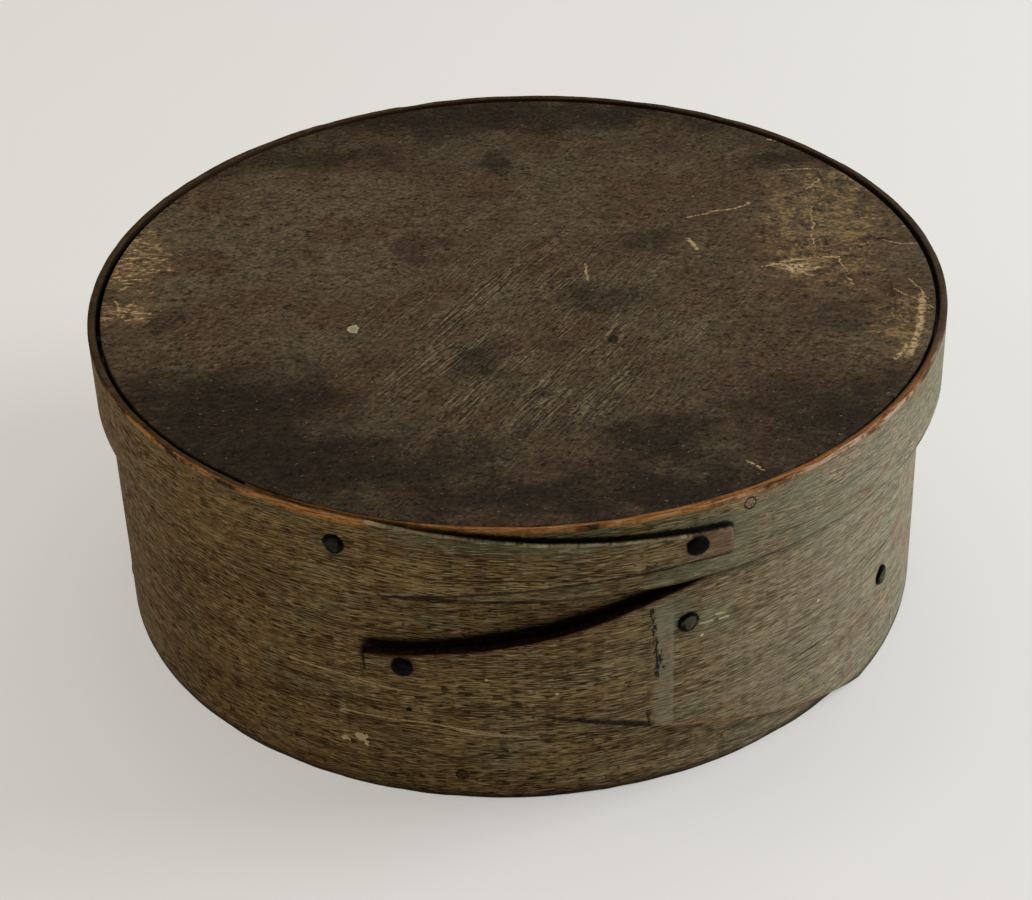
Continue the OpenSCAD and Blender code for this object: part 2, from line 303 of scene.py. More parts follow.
def strip_tree():
    tree, given, size = new_tree("bent_strip", box_strip)
    start = Wire(tree)
    line = start.geo("CurvePrimitiveLine", End=(1, 0, 0))
    path = start.geo("ResampleCurve", {"mode": "COUNT"}, Curve=line, Count=ALONG_STEPS)
    section = start.geo("MeshToCurve", Mesh=given)
    flat = start.geo("CurveToMesh", Curve=path, Profile_Curve=section, Fill_Caps=True)

    # The flat strip: how far along, on which face, and how high
    share, across, upward = start.geo("InputPosition").parts()
    side = across / size["Thickness"] * 2
    crowd = TIP_CROWD * TIP_FINE * (1 - start.math("EXPONENT", share / -TIP_FINE))
    turn = (size["Lap"] + FULL_TURN) * (share - crowd) / (1 - TIP_CROWD * TIP_FINE)
    low, high = finger_edges(size, turn)
    core = size["Height"] / 2 - EDGE_ROUND
    plain = upward.at_least(-1 * core).at_most(core)
    half = (high - low) / 2 - EDGE_ROUND
    level = (low + high) / 2 + plain / core * half + upward - plain

    # Worn edges, and a finger that has sprung open between its tacks
    ragged = (start.noise(turn * 9, side, 3.0, 3.0) - 0.45).at_least(0) * 4 * size["Edge wear"]
    top_edge = (plain / core).at_least(0) ** EDGE_POWER
    low_edge = (plain / core * -1).at_least(0) ** EDGE_POWER
    height = level + ragged * (low_edge - top_edge)
    stretch = (turn - size["Spring from"]) / (size["Spring to"] - size["Spring from"])
    arch = start.math("SINE", stretch.at_least(0).at_most(1) * math.pi)
    lift = ((level - low) / (high - low)).at_least(0)
    spring = arch * arch * lift * lift * size["Spring"]
    uneven = start.noise(turn * 2.5, level / WOBBLE_HEIGHT, 8.0) * size["Wobble"]

    # Bend it
    inner, outer = faces_of_strip(size, turn)
    radius = inner + (side + 1) / 2 * (outer - inner) + spring - uneven
    fade = start.math("EXPONENT", turn * size["Radius"] / -BEVEL_LENGTH)
    bevel = (side + 1) / 2 * fade * TIP_BEVEL / size["Radius"]
    angle = size["Tip angle"] + size["Hand"] * (turn + bevel)
    x = size["Centre X"] + radius * start.math("COSINE", angle)
    y = size["Centre Y"] + radius * start.math("SINE", angle)

    # What the paint needs to know
    wrap = turn - FULL_TURN
    under_low, under_high = finger_edges(size, wrap)
    outside = (level - under_high).at_least(under_low - level).at_least(-1 * wrap * size["Radius"])
    beside = (wrap + TIP_SIDE).over(0)
    to_finger = beside * outside + (1 - beside) * FAR_AWAY
    marked = store(start, flat, "strip", start.point(turn * size["Radius"], level, side))
    marked = store(start, marked, "rims", start.point(high - level, level - low, to_finger))
    place_bent = start.point(x, y, height + size["Foot"])
    end_tree(start, given, start.geo("SetPosition", Geometry=marked, Position=place_bent))
    return tree


bent_strip = strip_tree()
print("nodes in the tree that bends a strip:", len(bent_strip.nodes))

# %% [markdown]
# ## Finishes: what they share
# Every finish is built from the same few marks: lumps of noise stretched along the grain, soft round blots,
# and thin straight scratches. Image textures would be quicker, but marks that are worked out stay sharp at
# any distance and need no files. Heights are given in millimetres, so that the relief has its real depth.

# %% Marks that the finishes share
def colour(code):
    """A colour written as on a colour card, such as 6b6248, as the linear values that shaders use."""
    levels = [int(code[i:i + 2], 16) / 255 for i in (0, 2, 4)]
    return tuple(v / 12.92 if v <= 0.04045 else ((v + 0.055) / 1.055) ** 2.4 for v in levels) + (1.0,)


def new_material(name):
    material = bpy.data.materials.new(name)
    material.use_nodes = True
    material.node_tree.nodes.clear()
    return material, Wire(material.node_tree)


def read(start, name):
    """The three numbers of a vector that the geometry keeps under this name."""
    return start.add("ShaderNodeAttribute", {"attribute_name": name}, out="Vector").parts()


def any_of(masks):
    """1 wherever at least one of the masks is 1."""
    return reduce(Wire.at_least, masks)


def blot(x, y, middle_x, middle_y, wide, tall):
    """1 in the middle of an oval and 0 outside it."""
    return distance((x - middle_x) / wide, (y - middle_y) / tall).fall(0.3, 1.0)


def blots(x, y, spots):
    """1 in the middle of any of several ovals."""
    return any_of([blot(x, y, *spot) for spot in spots])


def scratch(x, y, first, last, width, press):
    """1 on a straight line between two points and 0 beside it. Press makes it wider or narrower."""
    run = Vector(last) - Vector(first)
    unit = run.normalized()
    px, py = x - first[0], y - first[1]
    reach = (px * unit.x + py * unit.y).at_least(0).at_most(run.length)
    aside = distance(px - reach * unit.x, py - reach * unit.y)
    return (aside / press).fall(width * 0.2, width * 0.6)


def strokes(x, y, paths, width, press=1.0):
    """1 on the straight lines through each row of points."""
    return any_of([scratch(x, y, a, b, width, press) for path in paths for a, b in zip(path, path[1:])])


def end_material(start, base, roughness, height, **constants):
    """Joins colour, roughness and a height in millimetres to one shader."""
    bump = start.add("ShaderNodeBump", Strength=1.0, Distance=MM, Height=height)
    varying = {"Base_Color": base, "Roughness": roughness, "Normal": bump}
    shader = start.add("ShaderNodeBsdfPrincipled", **varying, **constants)
    start.add("ShaderNodeOutputMaterial", Surface=shader)


def bare_wood(start, along, across, seed):
    """Colour, roughness and relief of old unpainted wood, from millimetres along and across its grain."""
    bent = across + (start.noise(along / 60, across / 20, seed) - 0.5) * 6
    ring = start.noise(along / 150, bent / 2.2, seed + 1, 3.0, 0.6)
    hair = start.noise(along / 7, bent / 0.3, seed + 2, 2.0)
    stain = start.noise(along / 40, across / 25, seed + 3, 4.0, 0.6)
    pores = start.noise(along / 9, bent / 0.45, seed + 4, 1.0).rise(0.6, 0.7)
    base = ring.rise(0.35, 0.65).mix(colour("8d6a41"), colour("6f4f2d"))
    base = (stain.rise(0.45, 0.75) * 0.7).mix(base, colour("4b3520"))
    base = (pores * 0.7).mix(base, colour("35230f"))
    base = (0.75 + hair * 0.5).tone(base)
    return base, 0.6 + stain * 0.25, hair * 0.08 + ring * 0.1 - pores * 0.12


print("colour card example, 6b6248 in linear values:", [round(v, 3) for v in colour("6b6248")])

# %% [markdown]
# ## Finish of the two bands
# The outside of both bands wears one thin coat of olive green paint. The open grain shows through it as
# short dark dashes along the strip, and brown streaks mark where the coat is rubbed away. The paint is
# greyer towards one side, partly faded and partly painted light, and darker brown towards the other side
# as painted shade. Edges are worn to bare orange-brown wood, and dirt lies round the tacks and pegs.
# Painted shade, with some dirt, darkens the gap above each finger. Painted shade also darkens the inner
# face near the top edge. The inside was never painted. A wood texture on plain coordinates would run
# straight through the lap. Here the grain follows the place on the flat strip, so it turns with the band,
# and the two layers of the lap differ as real ones do.

# %% Where the tacks and pegs come through
TACK_HEAD = 2.5 * MM
PEG_R = 1.4 * MM
BOX_TACK_NODES = ("box_tip_tack", "box_middle_tack", "box_root_tack")
LID_TACK_NODES = ("lid_tip_tack", "lid_root_tack")


def axis_of(strip):
    return Vector((strip["Centre X"], strip["Centre Y"]))


def direction(node, strip):
    """Direction of a node of the frame from a strip's own axis, in degrees."""
    total = Vector((0.0, 0.0))
    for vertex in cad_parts[node].data.vertices:
        total += vertex.co.xy - axis_of(strip)
    return math.degrees(math.atan2(total.y, total.x))


def tack_spots(strip, nodes):
    """Direction in degrees and height of each tack's head."""
    return [(direction(node, strip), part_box(node)[1].z - TACK_HEAD) for node in nodes]


def pegs_of(prefix):
    """Names of a row of pegs in the frame, in order."""
    names = [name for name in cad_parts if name.startswith(prefix)]
    return sorted(names, key=lambda name: int(name.split("_")[-1]))


box_tack_spots = tack_spots(box_strip, BOX_TACK_NODES)
lid_tack_spots = tack_spots(lid_strip, LID_TACK_NODES)
bottom_peg_nodes = pegs_of("bottom_peg_")
lid_peg_nodes = pegs_of("lid_peg_")
print("tacks at", [round(angle, 1) for angle, _ in box_tack_spots + lid_tack_spots], "degrees")

# %% Paint on a bent strip
OLIVE = colour("947b4d")
GREY_GREEN = colour("978e79")
LEAF_GREEN = colour("768165")
RUBBED = colour("62482a")
LIGHT_PAINT = colour("b1a47f")
PORE = colour("2a1907")
LEFT_SHADE_BROWN = colour("3c2a08")
GRIME_AND_SHADE = colour("090604")
WORN_EDGE = colour("9a6833")
RED_EDGE = colour("5a2812")
DARK_EDGE = colour("2e1c0d")
PALE = colour("c0ab80")
CHIP = colour("d2c69c")
FADED_AND_LIT_SIDE = (5, 85)
LEFT_SHADE_SIDE = (10, 100)
SPLIT_LENGTH = 30
PEGS_FROM = (84, 88)
PITCHES_AHEAD = 30.5
GAP_DARK = 0.95
BAND_SHINE = 0.1


def object_mm(start):
    """Where a point of the surface is, in millimetres from the middle of the foot."""
    return [part / MM for part in start.add("ShaderNodeTexCoord", out="Object").parts()]


def place(strip, angle, under=False):
    """Millimetres along a strip to a direction in degrees, on the lap's outer layer or the one under it."""
    turn = strip["Hand"] * (angle * DEGREE - strip["Tip angle"])
    turn = turn + FULL_TURN if under else turn % FULL_TURN
    return turn * strip["Radius"] / MM


def on_strip(strip, rows, under=False):
    """Rows that start with a direction in degrees, with millimetres along the strip in its stead."""
    return [(place(strip, angle, under), *rest) for angle, *rest in rows]


def painted_strip(start, s, z):
    """Colour, roughness and relief of the painted face, from millimetres along and up the strip."""
    x, _, _ = object_mm(start)
    bent = z + (start.noise(s / 70, z / 20, 1.0) - 0.5) * 6
    patch = start.noise(s / 26, z / 10, 6.0, 4.0, 0.6)
    broad = start.noise(s / 55, bent / 2.2, 5.0, 2.0)
    streak = start.noise(s / 9, bent / 0.6, 7.0, 3.0, 0.65)
    hair = start.noise(s / 3.0, bent / 0.25, 4.0, 1.0)
    crowd = start.noise(s / 16, bent / 3.0, 3.0)
    dashes = start.noise(s / 3.6, bent / 0.3, 2.0, 0.0)
    ticks = start.noise(s / 1.5, bent / 0.26, 10.0, 0.0)
    pores = (dashes + (crowd - 0.5) * 0.5).rise(0.56, 0.62).at_least(ticks.rise(0.64, 0.69) * 0.9)
    lights = start.noise(s / 4.0, bent / 0.34, 9.0, 0.0).rise(0.56, 0.66)
    split = start.noise(s / SPLIT_LENGTH, bent / 0.5, 8.0, 0.0).rise(0.71, 0.76)
    blotch = start.noise(s / 17, z / 11, 11.0, 4.0, 0.65)
    # Painted light and shade, with real fading: greyer towards +x and darker brown towards -x
    faded_and_lit = (x + (patch - 0.5) * 70).rise(*FADED_AND_LIT_SIDE)
    left_shade = (x * -1 + (patch - 0.5) * 60).rise(*LEFT_SHADE_SIDE)
    base = faded_and_lit.mix(OLIVE, GREY_GREEN)
    base = (blotch.rise(0.5, 0.66) * 0.45).mix(base, LEAF_GREEN)
    base = (blotch.fall(0.34, 0.48) * (0.2 + faded_and_lit * 0.3)).mix(base, colour("86705a"))
    thin = (broad * 0.35 + streak * 0.45 + patch * 0.2).rise(0.42, 0.6)
    base = (thin * (0.9 - faded_and_lit * 0.5)).mix(base, RUBBED)
    base = (lights * 0.7).mix(base, LIGHT_PAINT)
    base = (left_shade * 0.25).mix(base, LEFT_SHADE_BROWN)
    base = (pores * (0.85 - faded_and_lit * 0.5)).mix(base, PORE)
    base = (split * 0.5).mix(base, PORE)
    base = (0.2 + hair * 0.8 + streak * 0.8).tone(base)
    relief = hair * 0.05 - pores * 0.1 - split * 0.15 + streak * 0.1 + broad * 0.1
    return base, 0.55 + pores * 0.2 + patch * 0.2, relief, patch


def grime_round(start, strip, s, z, tacks, peg_nodes):
    """Dirt that has gathered round the tacks, and the seam round each peg, which shows at the first one."""
    foot_z = strip["Foot"] / MM
    ragged = start.noise(s / 1.2, z / 1.2, 15.0, 2.0) * 1.8
    heads = [(place(strip, angle), height / MM - foot_z) for angle, height in tacks]
    rings = [(distance(s - along, z - up) + ragged).fall(3.0, 3.9) for along, up in heads]
    low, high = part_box(peg_nodes[0])
    level = (low.z + high.z) / 2 / MM - foot_z
    first_angle, next_angle = [direction(node, strip) for node in peg_nodes[:2]]
    pitch = abs(next_angle - first_angle) * DEGREE * strip["Radius"] / MM
    first = place(strip, first_angle, under=True)
    ahead = s - first + pitch * PITCHES_AHEAD
    aside = ahead.math("MODULO", ahead, pitch) - pitch / 2
    from_peg = distance(aside, z - level) / (PEG_R / MM)
    clear = distance(s - first, z - level).fall(4, 8)
    seam = (from_peg + ragged * 0.3).fall(1.25, 1.6) * s.rise(*PEGS_FROM)
    return any_of(rings) * 0.85, seam * (0.1 + clear * 0.8)


def band_paint(name, strip, marks, tacks, peg_nodes):
    """Paint for one band. The marks function adds what only that band has."""
    material, start = new_material(name)
    along, up, side = read(start, "strip")
    s, z = along / MM, up / MM
    base, rough, relief, patch = painted_strip(start, s, z)
    top, low, finger = [part / MM for part in read(start, "rims")]
    near = SimpleNamespace(top=top, low=low, finger=finger, side=side, patch=patch, gap=GAP_DARK)
    base, relief = marks(start, strip, s, z, near, base, relief)
    ragged = start.noise(s / 1.3, z / 0.8, 16.0, 3.0) - 0.5
    # Painted shade with some dirt: the gap above each finger and the wall just outside its outline, darkened
    shade = (finger + (patch - 0.5) * 1.2 + ragged).fall(0.3, 0.5 + strip["Lift"] / MM)
    base = (shade * near.gap).mix(base, GRIME_AND_SHADE)
    for dirt in grime_round(start, strip, s, z, tacks, peg_nodes):
        base = dirt.mix(base, GRIME_AND_SHADE)
    wood, wood_rough, wood_relief = bare_wood(start, s, z, 20.0)
    inside = side.fall(-0.95, -0.6)
    # Painted shade on the inner face near the top edge: near black at the front, dark brown at the back
    _, back, _ = object_mm(start)
    inner_shade = back.rise(20, 75).mix(GRIME_AND_SHADE, DARK_EDGE)
    wood = (top + (patch - 0.5) * 4).fall(3, 8).mix(wood, inner_shade)
    base = inside.mix(base, wood)
    rough = rough + inside * (wood_rough - rough)
    relief = relief + inside * (wood_relief - relief)
    end_material(start, base, rough, relief, Specular_IOR_Level=BAND_SHINE)
    return material


# %% [markdown]
# ### Marks on the box band
# Where the finger crosses the front, an old crack is filled with a stripe of paler, greener paint. The foot
# is worn dark, the lower edge of the lap shows a line of bare wood, and there are a worm hole, long thin
# scratches and a few chips. Painted shade darkens a slit along the lap's lower edge near the tip, and a
# line just under the lid's lower edge. Each is a small mask at a direction in degrees and a height in
# millimetres.

# %% Marks of the box band
BOX_SCRATCHES = (((-114.5, 21.4), (-102.4, 21.8), (-90.9, 18.8)),
                 ((-99.0, 20.4), (-94.0, 19.0), (-88.6, 18.4)),
                 ((-121.9, 32.2), (-114.0, 32.0), (-106.1, 30.4)))
TACK_SCRATCHES = (((-67.8, 45.4), (-66.1, 45.1)), ((-65.6, 46.6), (-64.4, 46.3)),
                  ((-65.0, 45.0), (-63.8, 44.8)))
CRACK_LINES = (((-74.3, 53), (-73.4, 33)), ((-74.8, 24), (-74.5, 16.5)), ((-73.3, 41), (-73.0, 36)))
BOX_CHIPS = ((-112.0, 14.4, 2.0, 1.6), (-114.3, 12.8, 1.9, 0.6), (-111.4, 13.0, 0.9, 1.2))
BOX_SPECKS = ((-94.7, 38.4), (-86.2, 33.5), (-67.5, 42.0), (-48.5, 36.0))
SPECK_SIZE = (0.6, 0.45)
GREEN_SPOTS = ((-71.6, 51, 8, 8), (-66, 46, 9, 6))
WORM_HOLE = (-105.1, 25.2, 0.9, 0.8)
FILLED_ANGLE = -72.6
FILLED_LOW = (15, 17)
FILLED_HIGH = (47, 56)
LAP_LINE = (66, 69, 112, 120)
SLIT_FROM = (18, 43)
SLIT_TO = (62, 67)
BOX_FINGER = (118, 128)


def box_marks(start, strip, s, z, near, base, relief):
    x, _, _ = object_mm(start)
    wander = (start.noise(s / 2.0, z / 3.5, 31.0, 4.0, 0.65) - 0.5) * 2
    jag = (start.noise(s / 0.9, z / 1.3, 32.0, 3.0, 0.6) - 0.5) * 2

    def lines(across, up, paths, width, under=False):
        return strokes(across, up, [on_strip(strip, path, under) for path in paths], width)

    # The filled crack and the greener paint about it
    green = blots(s + wander * 4, z + jag * 4, on_strip(strip, GREEN_SPOTS))
    base = (green * (0.35 + wander * 0.5)).mix(base, LEAF_GREEN)
    aside = s - place(strip, FILLED_ANGLE)
    stripe = (aside + wander * 3.5 + jag * 0.8).rise(-3.2, -1.0) * (aside + jag * 0.8).fall(1.8, 2.6)
    stripe = stripe * z.rise(*FILLED_LOW) * (z + wander * 3).fall(*FILLED_HIGH)
    worn = start.noise(s / 1.6, z / 0.9, 34.0, 3.0, 0.65).rise(0.3, 0.65)
    base = (stripe * (worn * 0.55 + 0.15 + z.rise(30, 50) * 0.15)).mix(base, colour("98927b"))
    crack = lines(s + wander * 1.0 + jag * 1.6, z, CRACK_LINES, 0.9)
    crack = crack * start.noise(s / 1.6, z / 2.6, 33.0, 2.0).rise(0.37, 0.47)
    base = (crack * 0.9).mix(base, GRIME_AND_SHADE)

    # The lower edge of the lap: a slit of painted shade near the tip, and then a line of bare wood
    lap_line = (near.low + wander * 0.5).fall(0.5, 1.2) * s.window(*LAP_LINE)
    base = (lap_line * (wander + jag * 0.5).rise(-0.6, 0.1) * 0.85).mix(base, colour("a4754a"))
    wider = s.rise(35, 60)
    slit_shade = (near.low + wander * 0.9).fall(wider + 0.4, wider + 1.4)
    slit_shade = slit_shade * (s + wander * 6).rise(*SLIT_FROM) * s.fall(*SLIT_TO)
    base = (slit_shade * 0.9).mix(base, GRIME_AND_SHADE)

    # A painted shadow: the dark line just under the lid's lower edge
    collar = lid_strip["Foot"] / MM
    shadow_under_lid = (z + jag * 0.4).rise(collar - 3.4, collar - 2.4) * z.fall(collar + 0.3, collar + 0.9)
    shadow_under_lid = shadow_under_lid * (near.patch + wander * 0.1).rise(0.34, 0.5) * (0.8 - x.rise(15, 60) * 0.55)
    base = shadow_under_lid.mix(base, GRIME_AND_SHADE)

    # Scratches, chips, a worm hole and the worn foot
    broken = jag.rise(-0.5, 0.0)
    runs = lines(s, z + wander * 0.4, BOX_SCRATCHES, 0.55, under=True)
    base = (runs * broken * 0.9).mix(base, PALE)
    nicks = lines(s, z + wander * 0.4, TACK_SCRATCHES, 0.7)
    base = (nicks * broken * 0.8).mix(base, CHIP)
    torn = (start.noise(s / 1.1, z / 0.9, 35.0, 3.0, 0.6) - 0.5) * 4
    chips = blots(s + jag * 1.2, z + torn, on_strip(strip, BOX_CHIPS))
    specks = blots(s + jag * 0.3, z, [spot + SPECK_SIZE for spot in on_strip(strip, BOX_SPECKS)])
    base = chips.at_least(specks).rise(0.2, 0.4).mix(base, CHIP)
    hole = blots(s, z, on_strip(strip, [WORM_HOLE], under=True)).rise(0.2, 0.5)
    base = hole.mix(base, GRIME_AND_SHADE)
    foot_wear = (near.low + (near.patch - 0.5) * 5).fall(0.3, 2.8)
    base = (foot_wear * z.fall(1.5, 4.0) * 0.85).mix(base, DARK_EDGE)

    # The finger's own edge: black on top, with a thin line of dark red wood at its outer corner
    finger = s.fall(*BOX_FINGER)
    corner = (near.top + jag * 0.4).fall(0.7, 1.5) * finger
    base = (corner * wander.rise(-0.4, 0.3) * 0.8).mix(base, RED_EDGE)
    top_face = near.top.fall(0.25, 0.7) * finger
    base = (top_face * 0.95).mix(base, wander.rise(-0.2, 0.4).mix(GRIME_AND_SHADE, colour("1c120b")))
    tip_end = (s + jag * 0.3).fall(0.5, 1.3) * s.fall(4, 5)
    base = (tip_end * 0.85).mix(base, GRIME_AND_SHADE)
    return base, relief - crack * 0.4 - hole * 0.8 + stripe * 0.15


# %% [markdown]
# ### Marks on the lid band
# The lid is handled most. At the front its rim is rubbed to bare orange-brown wood, redder towards the
# right, and elsewhere it is dark. Pale painted highlights lie on the rubbed rim's outer corner. The tip of
# its finger is bare too, and the paint beside and above the finger has stayed greener. Painted shade
# darkens the gap above the finger and a line along the lid's lower edge.

# %% Marks of the lid band
TIP_BARE = 15
LID_FINGER = 80


def lid_marks(start, strip, s, z, near, base, relief):
    x, y, _ = object_mm(start)
    jag = (start.noise(s / 0.9, z / 0.7, 42.0, 3.0, 0.6) - 0.5) * 2
    wear = start.noise(s / 14, near.side, 41.0, 4.0, 0.65)
    beside = near.finger.fall(2.0, 12.0)
    upper = (near.top + jag * 3).fall(1.0, 5.0)
    green = beside.at_least(upper * 0.7).at_least(x.rise(35, 60) * 0.45) * near.patch.rise(0.38, 0.58)
    base = ((x * -1).rise(10, 70) * jag.rise(-0.3, 0.5) * 0.3).mix(base, colour("a48d60"))
    base = (green * (0.5 + jag * 0.6)).mix(base, LEAF_GREEN)
    bare_tip = (s + (near.patch - 0.5) * 16 + jag * 2).fall(TIP_BARE * 0.3, TIP_BARE)
    base = (bare_tip * 0.6).mix(base, colour("7c5c43"))
    end_grain = (s + jag * 0.3).fall(0.4, 1.2) * s.fall(4, 5)
    base = (end_grain * 0.7).mix(base, colour("9a7a5c"))

    # The rim: dark all round, bare at the front, and only at its outer corner towards the left
    full_height = s.rise(LID_FINGER - 2, LID_FINGER + 4)
    rim = (near.top + (wear - 0.5) * 1.6 + jag * 0.25).fall(0.9, 1.5) * full_height
    base = (rim * 0.9).mix(base, DARK_EDGE)
    front = (y + (wear - 0.5) * 30).fall(-66, -22)
    left = (x * -1).rise(42, 66)
    outer = (near.side + jag * 0.3).rise(left * 1.0 - 0.7, left * 0.7 + 0.1)
    rubbed = rim * front * outer * (wear + jag * 0.06).rise(left * 0.07 + 0.34, left * 0.07 + 0.46)
    streaks = start.noise(s / 7, near.side * 2.5, 43.0, 4.0, 0.65)
    wood = streaks.rise(0.38, 0.56).mix(colour("6f4622"), WORN_EDGE)
    wood = (x.rise(45, 85) * 0.35).mix(wood, RED_EDGE)
    base = (rubbed * 0.95).mix(base, wood)
    # Painted highlights: pale colour on the rubbed rim's outer corner, paler towards the right
    polished_highlight = rubbed * (near.side + (streaks - 0.5) * 2).rise(0.5, 0.95)
    polished_highlight = polished_highlight * (wear + jag * 0.08).rise(0.44, 0.54)
    base = (polished_highlight * 0.7).mix(base, x.rise(30, 70).mix(colour("c7965e"), colour("cdb49c")))

    # The finger's edges with the gap's painted shade, and the lid's lower edge with a line of painted shade
    finger = s.fall(LID_FINGER - 4, LID_FINGER + 2)
    # How strong the painted shade of the gap is, lighter towards the left
    near.gap = x.rise(-42, -2) * 0.55 + 0.4
    inner = (near.side + jag * 0.5).fall(-0.4, 0.3)
    top_face = (near.top + jag * 0.2).fall(0.3, 0.7) * finger * (0.35 + inner * 0.65)
    base = (top_face * near.gap).mix(base, GRIME_AND_SHADE)
    below = (near.low + jag * 0.5).fall(0.6, 1.3) * finger
    base = (below * 0.85).mix(base, colour("26110a"))
    # Painted shade: a dark line along the lid's lower edge, away from the finger
    skirt_shade = (near.low + (wear - 0.5) * 1.5).fall(0.2, 0.9)
    base = (skirt_shade * (1 - finger) * 0.85).mix(base, DARK_EDGE)
    pale_line = (near.low + jag * 0.3).rise(0.8, 1.2) * near.low.fall(1.4, 2.0) * wear.rise(0.5, 0.6)
    base = (pale_line * 0.5).mix(base, LIGHT_PAINT)
    return base, relief


box_paint = band_paint("box_band_paint", box_strip, box_marks, box_tack_spots, bottom_peg_nodes)
lid_band_paint = band_paint("lid_band_paint", lid_strip, lid_marks, lid_tack_spots, lid_peg_nodes)
print("nodes in the box band's paint:", len(box_paint.node_tree.nodes))

# %% [markdown]
# ## Finish of the lid board
# The top of the lid is the same paint gone dark with handling: grey-olive in the middle, red-brown in
# patches, brown-black soil round the edge and in blotches, and fine slanting ridges where the paint stands
# proud. Tan scuffs and scratches lie at the left and right edges. A turned pair of axes carries the ridges.
# The places of the blotches are pushed about by noise, because a clean oval would look painted on, and
# every colour is broken up by the grit of old varnish. Each mark is a row: its middle, then its size.

# %% Where the lid is soiled, reddish and scuffed
RIDGE_LEAN = 58 * DEGREE
SOIL_SPOTS = ((-68, -50, 38, 26), (-40, -78, 46, 17), (20, -92, 64, 13), (72, -62, 34, 26),
              (80, -22, 22, 12), (-58, 70, 44, 14), (0, 92, 82, 13))
SMALL_SPOTS = ((20, -10, 17, 13), (35, 19, 13, 11), (76, 61, 19, 7), (-59, 17, 7, 10), (-68, 5, 6, 5),
               (-86, -12, 8, 9), (-26, 20, 9, 13), (-5, 66, 7, 10), (-10, -36, 9, 13), (30, -70, 19, 13))
RED_SPOTS = ((28, 14, 22, 16), (-22, -32, 24, 14), (-70, -14, 20, 18), (52, 38, 28, 30),
             (58, -44, 26, 34), (-40, -76, 16, 12), (-26, 22, 18, 16), (70, 10, 30, 26))
RIDGED = (4, -30, 52, 62)
LIGHT_SPOT = (-66, 28, 52, 56)
DARK_SPOT = (-66, -60, 46, 36)
LEFT_SCUFFS = ((-97, 19, 13, 25), (-96, -8, 13, 8))
RIGHT_SCUFFS = ((71, 4, 17, 9), (77, 30, 12, 26), (92, -24, 13, 20), (84, 46, 18, 14), (79, 22, 26, 46))
BRIGHT_SCUFF = (70, 3, 4.5, 3.5)
DARK_PIT = (22.4, -28.2, 1.6, 2.6)
PALE_CHIP = (-39.6, -19.4, 1.7, 2.5)
RUB_REACH = (98.2, 99.0, 99.8, 100.6)
RUB_SIDE = (-42, -38, -14, -10)
PAINT_DEPTH = (-2.2, -1.4)
LID_SHINE = 0.12

# The width of each scratch, and the points that it runs through
LID_SCRATCHES = (
    (0.6, (45, 31), (54, 34), (62, 37.6)), (1.2, (43.6, 20), (46.4, 14)), (0.8, (61, 4), (68, 7), (81, 8)),
    (1.6, (66, 5.5), (71, 2), (76, 3)), (1.3, (69, 3), (73, -1)), (0.5, (77, 35), (76.4, 24), (75.6, 15)),
    (0.7, (77, 44), (81, 50)), (0.5, (72, 55.6), (83, 55)), (0.4, (92, -8), (100, -18)),
    (0.4, (97, -4), (100, -16)), (0.5, (89, 27), (94, 27)), (0.5, (93, 16), (97, 13.5), (102, 13)),
    (0.5, (81, 8), (83, -6)), (0.8, (17.2, 9), (18.6, 0)), (0.8, (49, -81), (53, -85)),
    (1.2, (92, -34), (88, -41)), (0.9, (70, 74), (74, 72)), (0.7, (-98, -6.8), (-90, -8.6)),
    (0.6, (-99, -2), (-98, -7)))


def lid_places(start):
    """Millimetres from the middle of the lid to the right and to the back, and above the board's top."""
    x, y, z = object_mm(start)
    return x - lid_middle.x / MM, y - lid_middle.y / MM, z - board_top.z / MM


def pushed(start, x, y, cell, far, seed):
    """A place pushed about by noise, so that a mark drawn there gets a ragged outline."""
    push = [(start.noise(x / cell, y / cell * 1.2, seed + i, 5.0, 0.65) - 0.5) * far for i in (0, 1)]
    return x + push[0], y + push[1]


